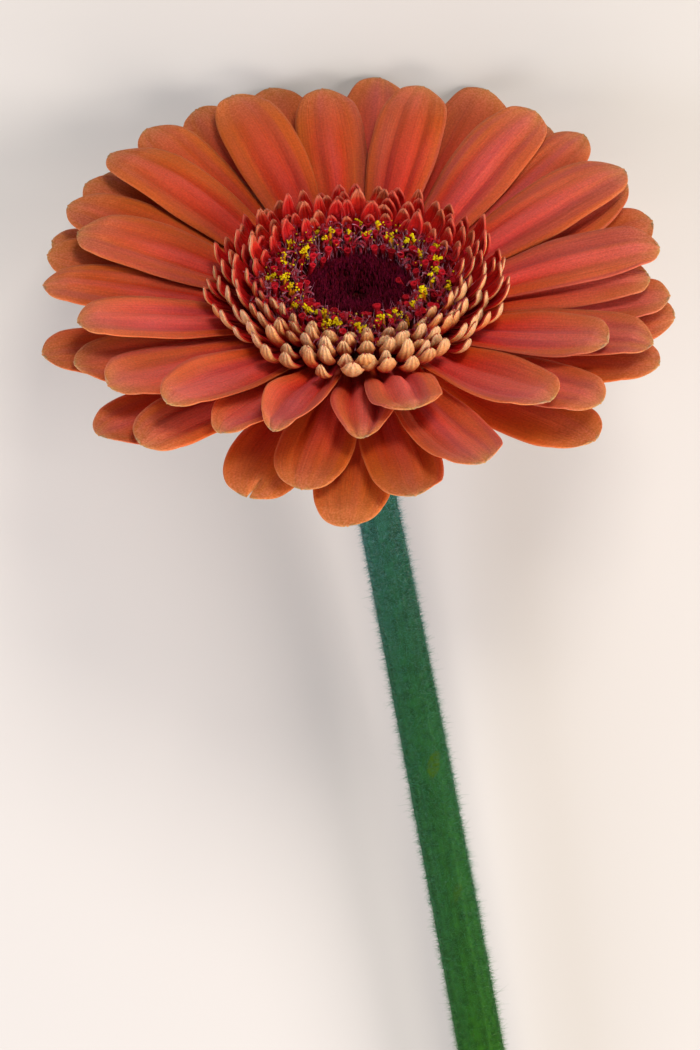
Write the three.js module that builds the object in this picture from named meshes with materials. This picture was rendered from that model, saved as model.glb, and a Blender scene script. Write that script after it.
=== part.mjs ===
// A cut gerbera lying down. Its head leans on the tips of its lowest rays, and its stem runs back
// from the head to a cut end that touches the table. Millimetres, +Z up, the stem along Y.
import * as THREE from 'three';

// ---- Driving sizes: millimetres, and degrees for angles ----

// The head has its own frame: +Z out of the face, the origin on the axis at the level of the eye.
const HEAD_TILT = 50; // from upright, towards +Y
const FIT_GAP = 0.3; // left between pieces that touch

// The disc under the florets, which carries the rays on its side.
const DISC_RADIUS = 15.9;
const DISC_TOP = -2.4;
const HEAD_DEPTH = 17.5; // from the head's origin back to the stem

// One ray, the long flat petal.
const RAY_REACH = 52; // from the axis to the tip
const RAY_HALF_WIDTH = 5.8;
const RAY_THICKNESS = 0.45;
const RAY_WIDEST_AT = 0.64; // as a share of the ray's length
const RAY_ROOT_SHARE = 0.22; // half width at the root and at the tip, as shares of the widest
const RAY_TIP_SHARE = 0.32;
const RAY_TIP_ROUND = 1.6; // how far the corners of the tip fall back
const RAY_CUP = 0.55; // how far the edges rise above the middle line
const RAY_SEGMENTS = { across: 4, along: 6 };
const RAY_STATION_POWER = 1.5; // crowds the stations towards the tip

// The whorls lie one under the other. Each is a shallow dish that the rays of that whorl follow,
// flatter than the dish above, and steeper where the head leans on the table.
const WHORL_STEP = 1.05;
const WHORL_MARGIN = 0.8; // from the disc's edges to the upper and the lower whorl
const DISH_RUN = 36; // the length over which a dish's bow is measured
const DISH_RISE = 11;
const DISH_RISE_BACK = 4.5; // added where the rays point to the table
const DISH_FAN = 7; // angle between the upper and the lower whorl
const DISH_FAN_BACK = -3;
const DISH_FAN_FRONT = 7;
const DISH_BOW = { back: 1.5, front: -2 }; // the hump, or the hollow, halfway along

// The rays of each whorl, upper whorl first. Each ray has its azimuth, the millimetres by which it
// reaches further than RAY_REACH, and its side bend.
const WHORLS = {
  a: [
    [10, -2, -4], [32, -0.5, -2], [54, -1, 0], [77, -2.5, 0], [115, -1.5, 0], [141, -0.5, 3],
    [163, -4.5, 5], [195, -4, 2], [229, -5, 0], [257, -3.5, 0], [283, -9.5, -1], [311, -6, 1],
    [336, -7.5, 0],
  ],
  b: [
    [6, -4, -5], [41, 1, 3], [97, -2.5, 0], [135, 0.5, -2], [157, 0, 2], [179, 0, 3],
    [213, -3, 1], [243, -6, 0], [269, -9, 0], [292, 1.5, 0], [321, -1, -1], [344, -1, -4],
  ],
  c: [
    [27, 0.5, 4], [50, 1, 3], [86, 2, 0], [123, 1.5, -2], [151, 1, -1], [173, 0.5, -3],
    [202, -2, 0], [226, -0.5, 1], [258, -4, 1], [281, 0, -1], [336, 0.5, 3], [358, -0.5, 0],
  ],
  d: [
    [17, 1, 5], [66, 5, 1], [107, 3, -1], [148, 1.5, -4], [170, 1, -6], [196, 1.5, -2],
    [218, 1.5, 0], [248, -4, 0], [270, 0.5, -2], [318, -2, 2], [349, 0, 7],
  ],
};

// Florets stand in rings on the disc, each ring cut into pointed blades. A station is the distance
// out from the disc's edge and the height above the disc.
const BLADE_THICKNESS = 0.55;
const BLADE_NOTCH = 0.5; // depth of the cuts, as a share of the blade beyond its last bend
const CROWNS = {
  crown_outer: { stations: [[-0.9, 0], [2.7, 3.2], [9.3, 7.3]], blades: 34 },
  crown_middle: { stations: [[-2.1, 0], [0.7, 4], [6.5, 8.8]], blades: 30 },
  crown_inner: { stations: [[-3.3, 0], [-1.3, 4.4], [3.5, 9.6]], blades: 26 },
};

// The anthers stand inside the crowns, measured as they are, and the eye fills the middle.
const ANTHER_OUTLINE = [[-6.1, 0], [-4, 0], [-2.1, 4.6], [-2.8, 6.2], [-4.5, 5.4], [-5.9, 3]];
const ANTHER_HEADS = 36;
const ANTHER_DIP = 0.82; // height between two heads, as a share of the height of a head
const EYE_INSET = 6.5; // from the disc's edge to the eye's
const EYE_OUTLINE = [ // share of the eye's radius, height above the disc
  [0, 0], [0.91, 0], [1, 1.6], [0.87, 4.2], [0.57, 4.6], [0.26, 3.4], [0, 2.8],
];
const EYE_SEGMENTS = 24;

// The back of the head narrows to the stem. A station's first share runs from the stem's seat out
// to the disc's edge, and its second from the stem's seat up to the disc's lower edge.
const SEAT_RADIUS = 4.4;
const BACK_SHARES = [[0, 0], [0.43, 0.28], [0.85, 0.75], [1, 1]];
const DISC_SEGMENTS = 32;

// Green bracts cover the back in two layers.
const BRACT_THICKNESS = 0.7;
const BRACT_NOTCH = 0.55;
const BRACT_LAYERS = {
  bracts_inner: { clearance: 0.4, first: 1, last: 2, extend: 3.2, blades: 22 },
  bracts_outer: { clearance: 1.7, first: 0, last: 2, extend: -1.5, blades: 18 },
};

// The stem starts on the head's axis and soon bends towards the level.
const STEM_RUN = 286; // along -Y, from the head to the cut end
const STEM_RADIUS = { neck: 3.1, middle: 4, end: 3.7 };
const STEM_NECK_LENGTH = 45; // over which the neck widens
const STEM_FALL = 0.04; // slope of the straight part
const STEM_DRIFT = 0.205; // sideways slope
const STEM_DRIFT_EASE = 6; // distance over which that slope sets in
const STEM_DRIFT_BACK = 0.0001; // how much it straightens again
const STEM_SEGMENTS = { round: 14, along: 26 };
const STEM_STATION_POWER = 1.7; // crowds the stations towards the neck

const FINISHES = {
  ray: { color: 0xc4532f, roughness: 0.6, metalness: 0 },
  floret: { color: 0x9c2c1c, roughness: 0.6, metalness: 0 },
  anther: { color: 0xd89a20, roughness: 0.75, metalness: 0 },
  eye: { color: 0x3d060f, roughness: 0.8, metalness: 0 },
  bract: { color: 0x4d6b30, roughness: 0.7, metalness: 0 },
  disc: { color: 0x8c9a55, roughness: 0.7, metalness: 0 },
  stem: { color: 0x3f6b38, roughness: 0.65, metalness: 0 },
};

// ---- Helpers ----

const radians = THREE.MathUtils.degToRad;
const { lerp } = THREE.MathUtils;

/** A named mesh in one of the finishes. */
function piece(name, geometry, finish) {
  const mesh = new THREE.Mesh(geometry, new THREE.MeshStandardMaterial(FINISHES[finish]));
  mesh.name = name;
  return mesh;
}

/** Moves every vertex of a geometry to the place that the function gives for it. */
function shape(geometry, place) {
  const positions = geometry.attributes.position;
  const vertex = new THREE.Vector3();
  for (let i = 0; i < positions.count; i += 1) {
    const { x, y, z } = place(vertex.fromBufferAttribute(positions, i), i);
    positions.setXYZ(i, x, y, z);
  }
  geometry.computeVertexNormals();
  return geometry;
}

/** Turns an outline of [radius, height] round the head's axis. */
function turned(outline, segments) {
  const points = outline.map(([radius, height]) => new THREE.Vector2(radius, height));
  return new THREE.LatheGeometry(points, segments).rotateX(Math.PI / 2);
}

// ---- Rays ----

const RAY_ROOT_RADIUS = DISC_RADIUS + FIT_GAP;
const LOWEST_WHORL = Object.keys(WHORLS).length - 1;
const DISC_LOWER_EDGE = DISC_TOP - 2 * WHORL_MARGIN - LOWEST_WHORL * WHORL_STEP;

/** Height of a whorl's dish at a distance from the axis and an azimuth. */
function dishHeight(whorl, radius, azimuth) {
  const back = Math.max(Math.sin(azimuth), 0);
  const front = Math.max(-Math.sin(azimuth), 0);
  const fan = DISH_FAN + DISH_FAN_BACK * back + DISH_FAN_FRONT * front;
  const rise = DISH_RISE + DISH_RISE_BACK * back + fan * (0.5 - whorl / LOWEST_WHORL);
  const bow = DISH_BOW.back * back + DISH_BOW.front * front;
  const run = radius - RAY_ROOT_RADIUS;
  const share = Math.min(run / DISH_RUN, 1);
  const root = DISC_TOP - WHORL_MARGIN - WHORL_STEP * whorl;
  return root + run * Math.tan(radians(rise)) + 4 * bow * share * (1 - share);
}

/** Half the width of a ray at a share of its length: a narrow root, wide shoulders, a blunt tip. */
function rayHalfWidth(share) {
  const swell = THREE.MathUtils.smoothstep(share, 0, RAY_WIDEST_AT);
  const fall = Math.max(share - RAY_WIDEST_AT, 0) / (1 - RAY_WIDEST_AT);
  const tip = lerp(RAY_TIP_SHARE, 1, Math.sqrt(1 - fall ** 2));
  return RAY_HALF_WIDTH * lerp(RAY_ROOT_SHARE, 1, swell) * tip;
}

/** One ray: a thin box drawn out along its azimuth, widened, cupped and laid on its whorl's dish. */
function rayGeometry(whorl, azimuth, reach, bend) {
  const heading = radians(azimuth);
  const box = new THREE.BoxGeometry(1, 1, 1, RAY_SEGMENTS.across, RAY_SEGMENTS.along, 1);
  return shape(box, ({ x, y, z }) => {
    const share = 1 - (0.5 - y) ** RAY_STATION_POWER;
    const side = -2 * x;
    const run = (reach - RAY_ROOT_RADIUS) * share;
    const onAxis = RAY_ROOT_RADIUS + run - RAY_TIP_ROUND * side ** 2 * share ** 4;
    const across = side * rayHalfWidth(share);
    const offAxis = across + reach * Math.tan(radians(bend)) * share ** 3;
    const radius = Math.hypot(onAxis, offAxis);
    const angle = heading + Math.atan2(offAxis, onAxis);
    const cup = RAY_CUP * (across / RAY_HALF_WIDTH) ** 2;
    const height = dishHeight(whorl, radius, angle) + cup + RAY_THICKNESS * z;
    return new THREE.Vector3(radius * Math.cos(angle), radius * Math.sin(angle), height);
  });
}

/** All the rays, named by whorl and by place in the whorl. */
function rays() {
  return Object.entries(WHORLS).flatMap(([letter, whorl], level) => (
    whorl.map(([azimuth, further, bend], i) => {
      const name = `ray_${letter}${String(i + 1).padStart(2, '0')}`;
      return piece(name, rayGeometry(level, azimuth, RAY_REACH + further, bend), 'ray');
    })
  ));
}

// ---- Florets, bracts, disc and eye ----

/** The closed outline of a wall: up its far side, set off outwards, and down along the stations. */
function wallOutline(stations, thickness) {
  const far = stations.map(([radius, height], i) => {
    const [r0, z0] = stations[Math.max(i - 1, 0)];
    const [r1, z1] = stations[Math.min(i + 1, stations.length - 1)];
    const scale = thickness / Math.hypot(r1 - r0, z1 - z0);
    return [radius + (z1 - z0) * scale, height - (r1 - r0) * scale];
  });
  return [...far, ...stations.toReversed(), far[0]];
}

/** A ring of pointed blades: a turned wall whose rim is pulled down between one blade and the next. */
function bladeRing(stations, thickness, blades, notch) {
  const outline = wallOutline(stations, thickness);
  const last = stations.length - 1;
  const rim = new Map([[last, last - 1], [last + 1, last + 2]]);
  const ring = turned(outline, 2 * blades);
  return shape(ring, (vertex, i) => {
    const point = i % outline.length;
    const segment = Math.floor(i / outline.length);
    if (segment % 2 === 0 || !rim.has(point)) {
      return vertex;
    }
    const [radius, height] = outline[point];
    const [bendRadius, bendHeight] = outline[rim.get(point)];
    const scale = lerp(radius, bendRadius, notch) / radius;
    return new THREE.Vector3(vertex.x * scale, vertex.y * scale, lerp(height, bendHeight, notch));
  });
}

/** Lowers or raises a geometry until its lowest point is just above the top of the disc. */
function seated(geometry) {
  geometry.computeBoundingBox();
  return geometry.translate(0, 0, DISC_TOP + FIT_GAP - geometry.boundingBox.min.z);
}

/** Stations measured from the disc's edge, as [radius, height]. */
function fromDiscEdge(stations) {
  return stations.map(([out, height]) => [DISC_RADIUS + out, height]);
}

/** The three rings of short florets round the anthers. */
function crowns() {
  return Object.entries(CROWNS).map(([name, { stations, blades }]) => {
    const ring = bladeRing(fromDiscEdge(stations), BLADE_THICKNESS, blades, BLADE_NOTCH);
    return piece(name, seated(ring), 'floret');
  });
}

/** The ring of pollen-bearing anthers, its top scalloped into heads. */
function antherRing() {
  const outline = fromDiscEdge([...ANTHER_OUTLINE, ANTHER_OUTLINE[0]]);
  const ring = turned(outline, 2 * ANTHER_HEADS);
  const scalloped = shape(ring, (vertex, i) => {
    const between = Math.floor(i / outline.length) % 2 === 1;
    return between ? vertex.setZ(vertex.z * ANTHER_DIP) : vertex;
  });
  return piece('anther_ring', seated(scalloped), 'anther');
}

/** The dark eye of unopened florets, dished in the middle. */
function eye() {
  const outline = EYE_OUTLINE.map(([share, height]) => [share * (DISC_RADIUS - EYE_INSET), height]);
  return piece('eye', seated(turned(outline, EYE_SEGMENTS)), 'eye');
}

/** The back of the head as [radius, height], from the stem's seat to the disc's lower edge. */
function backProfile() {
  return BACK_SHARES.map(([out, up]) => [
    lerp(SEAT_RADIUS, DISC_RADIUS, out),
    lerp(-HEAD_DEPTH, DISC_LOWER_EDGE, up),
  ]);
}

/** The disc with its narrowing back, which the stem meets. */
function disc() {
  const outline = [[0, -HEAD_DEPTH], ...backProfile(), [DISC_RADIUS, DISC_TOP], [0, DISC_TOP]];
  return piece('disc', turned(outline, DISC_SEGMENTS), 'disc');
}

/** Point on the line through two stations, a distance beyond the second. */
function beyond([r0, z0], [r1, z1], distance) {
  const share = 1 + distance / Math.hypot(r1 - r0, z1 - z0);
  return [lerp(r0, r1, share), lerp(z0, z1, share)];
}

/** The two layers of bracts, each clear of the back of the head by its own distance. */
function bracts() {
  return Object.entries(BRACT_LAYERS).map(([name, { clearance, first, last, extend, blades }]) => {
    const back = backProfile().slice(first, last + 1);
    const tip = beyond(...back.slice(-2), extend);
    const clear = wallOutline([...back.slice(0, -1), tip], clearance).slice(0, back.length);
    return piece(name, bladeRing(clear, BRACT_THICKNESS, blades, BRACT_NOTCH), 'bract');
  });
}

/** The head at its lean, raised until its lowest ray tip touches the table. */
function head() {
  const group = new THREE.Group();
  group.add(...rays(), ...crowns(), antherRing(), eye(), disc(), ...bracts());
  group.rotation.x = -radians(HEAD_TILT);
  group.updateMatrixWorld(true);
  group.position.z = -new THREE.Box3().setFromObject(group, true).min.z;
  group.updateMatrixWorld(true);
  return group;
}

// ---- Stem ----

/** The stem's middle line, from the back of the head to the cut end. */
class StemLine extends THREE.Curve {
  constructor(start) {
    super();
    this.start = start;
    this.sag = start.z - STEM_RADIUS.end - STEM_RUN * STEM_FALL;
    this.ease = this.sag / (Math.tan(radians(90 - HEAD_TILT)) - STEM_FALL);
  }

  getPoint(share, target = new THREE.Vector3()) {
    const run = STEM_RUN * share;
    const height = STEM_RADIUS.end + (STEM_RUN - run) * STEM_FALL + this.sag * Math.exp(-run / this.ease);
    const eased = run - STEM_DRIFT_EASE * (1 - Math.exp(-run / STEM_DRIFT_EASE));
    return target.set(this.start.x + STEM_DRIFT * eased - STEM_DRIFT_BACK * run ** 2, this.start.y - run, height);
  }
}

/** Radius of the stem: slim at the neck, full in the middle, a little less at the cut end. */
function stemRadius(share) {
  const neck = Math.exp(-(STEM_RUN * share) / STEM_NECK_LENGTH);
  const { neck: slim, middle, end } = STEM_RADIUS;
  return lerp(lerp(middle, end, share ** 2), slim, neck);
}

/** The stem: a cylinder laid along its middle line. */
function stem(start) {
  const line = new StemLine(start);
  const up = new THREE.Vector3(0, 0, 1);
  const { round, along } = STEM_SEGMENTS;
  const cylinder = new THREE.CylinderGeometry(1, 1, 1, round, along);
  const laid = shape(cylinder, ({ x, y, z }) => {
    const share = (0.5 - y) ** STEM_STATION_POWER;
    const tangent = line.getTangent(share);
    const across = tangent.clone().cross(up).normalize();
    const above = across.clone().cross(tangent);
    const radius = stemRadius(share);
    return line.getPoint(share).addScaledVector(across, -x * radius).addScaledVector(above, z * radius);
  });
  return piece('stem', laid, 'stem');
}

// ---- The flower ----

const flower = new THREE.Group();
const flowerHead = head();
flower.add(flowerHead);
flower.add(stem(flowerHead.localToWorld(new THREE.Vector3(0, 0, -HEAD_DEPTH - FIT_GAP))));

const extent = new THREE.Box3().setFromObject(flower, true);
const middle = extent.getCenter(new THREE.Vector3());
flower.position.set(-middle.x, -middle.y, -extent.min.z);

export default flower;
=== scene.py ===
"""A cut gerbera lying on a pale table: rays, florets, eye, bracts and a downy stem."""

import logging
import math
from dataclasses import dataclass
from enum import Enum

import bpy
import numpy as np
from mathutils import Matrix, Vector
from mathutils.bvhtree import BVHTree


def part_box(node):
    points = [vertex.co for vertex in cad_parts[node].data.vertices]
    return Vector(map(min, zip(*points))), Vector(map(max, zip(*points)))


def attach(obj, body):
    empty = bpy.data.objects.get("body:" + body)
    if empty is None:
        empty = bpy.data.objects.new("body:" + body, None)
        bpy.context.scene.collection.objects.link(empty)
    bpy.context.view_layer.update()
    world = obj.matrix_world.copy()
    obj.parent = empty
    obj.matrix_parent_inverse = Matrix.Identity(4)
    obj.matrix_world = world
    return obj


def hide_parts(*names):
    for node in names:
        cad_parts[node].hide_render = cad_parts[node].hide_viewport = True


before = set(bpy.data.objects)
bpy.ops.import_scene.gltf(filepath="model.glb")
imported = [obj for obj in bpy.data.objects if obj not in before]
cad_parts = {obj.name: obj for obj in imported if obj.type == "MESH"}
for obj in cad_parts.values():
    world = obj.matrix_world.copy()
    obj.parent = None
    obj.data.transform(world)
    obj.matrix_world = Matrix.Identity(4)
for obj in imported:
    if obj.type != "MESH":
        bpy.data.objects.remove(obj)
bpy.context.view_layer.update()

log = logging.getLogger("gerbera")

MM = 0.001
GOLDEN_ANGLE = math.radians(137.508)  # from each disc floret to the next
SEED = 11
UP = np.array([0.0, 0.0, 1.0])

Array = np.ndarray
Solid = tuple[Array, list[list[int]]]


# ---- Small tools ----


def linear(hex_colour: int) -> tuple[float, float, float, float]:
    """Turns an sRGB hex colour into linear RGBA.

    Args:
        hex_colour: the colour as 0xRRGGBB.

    Returns:
        Linear red, green, blue and an alpha of 1.
    """
    channels = [((hex_colour >> shift) & 255) / 255 for shift in (16, 8, 0)]
    curved = [c / 12.92 if c <= 0.04045 else ((c + 0.055) / 1.055) ** 2.4 for c in channels]
    return (*curved, 1.0)


def smooth(x: Array | float, low: float, high: float) -> Array | float:
    """Smooth step from 0 at low to 1 at high."""
    t = np.clip((np.asarray(x, float) - low) / (high - low), 0, 1)
    return t * t * (3 - 2 * t)


def bell(x: Array, middle: float, width: float) -> Array:
    """A smooth hump, 1 at the middle and near 0 two widths away."""
    return np.exp(-(((x - middle) / width) ** 2))


def swung(out: Array, across: Array, height: Array, azimuth: float) -> Array:
    """Places points by their distance out from the head's axis, across an azimuth, and up."""
    c, s = math.cos(azimuth), math.sin(azimuth)
    return np.stack([out * c - across * s, out * s + across * c, height], 1)


def deselect() -> None:
    """Clears the selection, so that an operator acts on new work only."""
    bpy.ops.object.select_all(action="DESELECT")


def flat_grid(name: str, columns: int, rows: int) -> tuple[bpy.types.Object, Array, Array]:
    """Adds a flat grid, two units across each way, with its UV map.

    Args:
        name: name of the new object.
        columns: faces across.
        rows: faces along.

    Returns:
        The new object, and the place of each vertex: -1 to 1 across, and 0 to 1 along.
    """
    deselect()
    bpy.ops.mesh.primitive_grid_add(x_subdivisions=columns, y_subdivisions=rows, size=2)
    grid = bpy.context.object
    grid.name = name
    places = vertices_of(grid)
    return grid, places[:, 0], (places[:, 1] + 1) / 2


def vertices_of(piece: bpy.types.Object) -> Array:
    """Reads the vertices of a piece.

    Args:
        piece: the mesh object.

    Returns:
        The places, one row for each vertex.
    """
    flat = np.zeros(len(piece.data.vertices) * 3, np.float32)
    piece.data.vertices.foreach_get("co", flat)
    return flat.reshape(-1, 3).astype(float)


def move_vertices(piece: bpy.types.Object, places: Array) -> None:
    """Puts the vertices of a piece at new places."""
    piece.data.vertices.foreach_set("co", places.astype(np.float32).ravel())
    piece.data.update()


def joined_copies(
    name: str, pattern: bpy.types.Object, places: list[Array], tones: list[float]
) -> bpy.types.Object:
    """Copies a pattern for each array of vertex places, and joins the copies.

    Args:
        name: name of the result.
        pattern: the object to copy; it is removed.
        places: the vertices of each copy.
        tones: a number from 0 to 1 for each copy.

    Returns:
        The joined object, selected and active.
    """
    parts = []
    for place, own in zip(places, tones):
        part = pattern.copy()
        part.data = pattern.data.copy()
        bpy.context.scene.collection.objects.link(part)
        move_vertices(part, place)
        tone(part, own)
        parts.append(part)
    bpy.data.objects.remove(pattern)
    deselect()
    for part in parts:
        part.select_set(True)
    bpy.context.view_layer.objects.active = parts[0]
    bpy.ops.object.join()
    whole = bpy.context.object
    whole.name = name
    return whole


def thicken(
    piece: bpy.types.Object,
    thickness: float,
    materials: list[bpy.types.Material],
    edge_share: float = 1.0,
) -> None:
    """Gives a sheet its thickness, thinner towards the weights of its vertex group "edge".

    Args:
        piece: the sheet.
        thickness: in millimetres.
        materials: of its face and, where there are two, of its underside.
        edge_share: thickness at the edge, as a share of the whole.
    """
    dress(piece, materials)
    solid = piece.modifiers.new("thickness", "SOLIDIFY")
    solid.thickness = thickness * MM
    solid.offset = 0
    solid.use_rim = True
    if "edge" in piece.vertex_groups:
        solid.vertex_group = "edge"
        solid.thickness_vertex_group = edge_share
    solid.material_offset = len(materials) - 1
    deselect()
    piece.select_set(True)
    bpy.context.view_layer.objects.active = piece
    bpy.ops.object.modifier_apply(modifier=solid.name)


def dress(piece: bpy.types.Object, materials: list[bpy.types.Material]) -> None:
    """Gives a piece its material slots.

    Args:
        piece: the mesh object.
        materials: one for each slot, in order.
    """
    piece.data.materials.clear()
    for material in materials:
        piece.data.materials.append(material)


def weigh_edges(piece: bpy.types.Object, weights: Array) -> None:
    """Writes the vertex group "edge", 1 where a sheet is full and 0 at its edge.

    Args:
        piece: the sheet.
        weights: one for each vertex.
    """
    group = piece.vertex_groups.new(name="edge")
    for index, weight in enumerate(weights):
        group.add([index], float(weight), "REPLACE")


def tone(piece: bpy.types.Object, values: Array | float, name: str = "tone") -> None:
    """Stores a number at each vertex, which a finish reads to vary its colour.

    Args:
        piece: the mesh object.
        values: one for all vertices, or one for each.
        name: what the finish knows the number by.
    """
    stored = piece.data.attributes
    attribute = stored.get(name) or stored.new(name, "FLOAT", "POINT")
    spread = np.broadcast_to(np.asarray(values, np.float32), (len(piece.data.vertices),))
    attribute.data.foreach_set("value", np.ascontiguousarray(spread))


def finished(piece: bpy.types.Object, slot: str, *replaced: str) -> bpy.types.Object:
    """Smooths a dressed piece, and ties it to the frame.

    Args:
        piece: the finished mesh, placed in the row frame, with its materials.
        slot: the record's material slot; not used.
        replaced: the CAD nodes that it stands for.

    Returns:
        The piece.
    """
    piece.data.polygons.foreach_set("use_smooth", [True] * len(piece.data.polygons))
    piece.data.update()
    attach(piece, "root")
    if replaced:
        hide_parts(*replaced)
    log.info("%s: %d faces", piece.name, len(piece.data.polygons))
    return piece


# ---- Finishes ----

Feed = bpy.types.NodeSocket | float | tuple
Stops = tuple[tuple[float, int], ...]
IN_ORDER = (0, 1, 2, 3, 4)
COLOUR_MIX = (0, 6, 7)  # a colour Mix node's factor and two colours
PALE_GRAIN: Stops = ((0.35, 0xC8C8C8), (0.65, 0xFFFFFF))


class Kind(Enum):
    """The shader nodes in use: type, settings, the output that is read, and the inputs in order."""

    ADD = ("ShaderNodeMath", {"operation": "ADD"}, 0, IN_ORDER)
    SUBTRACT = ("ShaderNodeMath", {"operation": "SUBTRACT"}, 0, IN_ORDER)
    MULTIPLY = ("ShaderNodeMath", {"operation": "MULTIPLY"}, 0, IN_ORDER)
    DIVIDE = ("ShaderNodeMath", {"operation": "DIVIDE"}, 0, IN_ORDER)
    LARGER = ("ShaderNodeMath", {"operation": "MAXIMUM"}, 0, IN_ORDER)
    UNSIGNED = ("ShaderNodeMath", {"operation": "ABSOLUTE"}, 0, IN_ORDER)
    SINE = ("ShaderNodeMath", {"operation": "SINE"}, 0, IN_ORDER)
    SPAN = ("ShaderNodeMapRange", {}, 0, IN_ORDER)
    MIX = ("ShaderNodeMix", {"data_type": "RGBA"}, 2, COLOUR_MIX)
    SHADE = ("ShaderNodeMix", {"data_type": "RGBA", "blend_type": "MULTIPLY"}, 2, COLOUR_MIX)
    RAMP = ("ShaderNodeValToRGB", {}, "Color", IN_ORDER)
    ACROSS = ("ShaderNodeSeparateXYZ", {}, "X", IN_ORDER)
    ALONG = ("ShaderNodeSeparateXYZ", {}, "Y", IN_ORDER)
    GATHER = ("ShaderNodeCombineXYZ", {}, 0, IN_ORDER)
    STRETCH = ("ShaderNodeMapping", {}, 0, IN_ORDER)
    CENTRE = ("ShaderNodeMapping", {"vector_type": "TEXTURE"}, 0, IN_ORDER)
    VECTOR_SUBTRACT = ("ShaderNodeVectorMath", {"operation": "SUBTRACT"}, 0, IN_ORDER)
    VECTOR_MULTIPLY = ("ShaderNodeVectorMath", {"operation": "MULTIPLY"}, 0, IN_ORDER)
    LENGTH = ("ShaderNodeVectorMath", {"operation": "LENGTH"}, "Value", IN_ORDER)
    DOT = ("ShaderNodeVectorMath", {"operation": "DOT_PRODUCT"}, "Value", IN_ORDER)
    NOISE = ("ShaderNodeTexNoise", {}, "Fac", IN_ORDER)
    CELLS = ("ShaderNodeTexVoronoi", {}, "Distance", IN_ORDER)
    BUMP = ("ShaderNodeBump", {}, "Normal", IN_ORDER)
    SHEET = ("ShaderNodeUVMap", {"uv_map": "UVMap"}, "UV", IN_ORDER)
    PLACE = ("ShaderNodeTexCoord", {}, "Object", IN_ORDER)
    TONE = ("ShaderNodeAttribute", {"attribute_name": "tone"}, "Fac", IN_ORDER)
    NUMBER = ("ShaderNodeAttribute", {"attribute_name": "number"}, "Fac", IN_ORDER)


def add_node(
    tree: bpy.types.NodeTree, kind: Kind, *ordered: Feed, stops: Stops = (), **named: Feed
) -> bpy.types.NodeSocket:
    """Adds a shader node with its settings and its links.

    Args:
        tree: the material's node tree.
        kind: which node.
        ordered: values or output sockets for its inputs, in their order.
        stops: of a colour ramp, the position and sRGB hex colour of each.
        named: values or output sockets for further inputs, by name.

    Returns:
        The output that this kind of node is used for.
    """
    type_name, settings, output, order = kind.value
    node = tree.nodes.new(type_name)
    for key, value in settings.items():
        setattr(node, key, value)
    spelt = [(key.replace("_", " "), value) for key, value in named.items()]
    for key, value in [*zip(order, ordered), *spelt]:
        if isinstance(value, bpy.types.NodeSocket):
            tree.links.new(value, node.inputs[key])
        else:
            node.inputs[key].default_value = value
    if stops:
        elements = node.color_ramp.elements
        while len(elements) < len(stops):
            elements.new(0.5)
        for element, (position, colour) in zip(elements, stops):
            element.position = position
            element.color = linear(colour)
    return node.outputs[output]


def mottled(
    tree: bpy.types.NodeTree,
    vector: bpy.types.NodeSocket,
    scale: tuple[float, float, float],
    detail: float = 2.0,
) -> bpy.types.NodeSocket:
    """Cloudy variation from 0 to 1, whose grain is set for each axis.

    Args:
        tree: the material's node tree.
        vector: the coordinates.
        scale: grains to a unit along each axis.
        detail: octaves.

    Returns:
        The variation.
    """
    stretched = add_node(tree, Kind.STRETCH, Vector=vector, Scale=scale)
    return add_node(tree, Kind.NOISE, Vector=stretched, Scale=1.0, Detail=detail)


def per_mm(count: float) -> tuple[float, float, float]:
    """The scale that gives a pattern this many grains to a millimetre each way."""
    return (count / MM,) * 3


def from_middle(tree: bpy.types.NodeTree, across: bpy.types.NodeSocket) -> bpy.types.NodeSocket:
    """Distance from the middle line of a sheet: 0 on it, 1 at either edge."""
    doubled = add_node(tree, Kind.MULTIPLY, across, 2.0)
    return add_node(tree, Kind.UNSIGNED, add_node(tree, Kind.SUBTRACT, doubled, 1.0))


@dataclass(frozen=True)
class Surface:
    """What every plant surface here has: gloss, velvet and the glow of thin wet tissue."""

    roughness: float = 0.6
    specular: float = 0.16
    sheen: float = 0.05
    sheen_tint: int = 0xFFD0D8
    glow: float = 0.25
    glow_depth_mm: float = 1.0
    glow_colours: tuple[float, float, float] = (1.0, 0.35, 0.18)  # red light goes furthest
    bump_mm: float = 0.1

    def start(self, name: str) -> tuple[bpy.types.Material, bpy.types.NodeTree, bpy.types.Node]:
        """Makes the material with its shader.

        Args:
            name: the material's name.

        Returns:
            The material, its node tree and its Principled shader.
        """
        material = bpy.data.materials.new(name)
        material.use_nodes = True
        tree = material.node_tree
        shader = tree.nodes["Principled BSDF"]
        shader.inputs["Roughness"].default_value = self.roughness
        shader.inputs["Specular IOR Level"].default_value = self.specular
        shader.inputs["Sheen Weight"].default_value = self.sheen
        shader.inputs["Sheen Roughness"].default_value = 0.5
        shader.inputs["Sheen Tint"].default_value = linear(self.sheen_tint)
        shader.inputs["Subsurface Weight"].default_value = self.glow
        shader.inputs["Subsurface Scale"].default_value = self.glow_depth_mm * MM
        shader.inputs["Subsurface Radius"].default_value = self.glow_colours
        return material, tree, shader

    def finish(
        self,
        tree: bpy.types.NodeTree,
        shader: bpy.types.Node,
        colour: bpy.types.NodeSocket,
        height: bpy.types.NodeSocket,
    ) -> None:
        """Links the colour, and the height as bump.

        Args:
            tree: the material's node tree.
            shader: its Principled shader.
            colour: the base colour.
            height: relief from 0 to 1, as deep as the surface's bump.
        """
        normal = add_node(tree, Kind.BUMP, Strength=1.0, Distance=self.bump_mm * MM, Height=height)
        tree.links.new(colour, shader.inputs["Base Color"])
        tree.links.new(normal, shader.inputs["Normal"])


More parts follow.
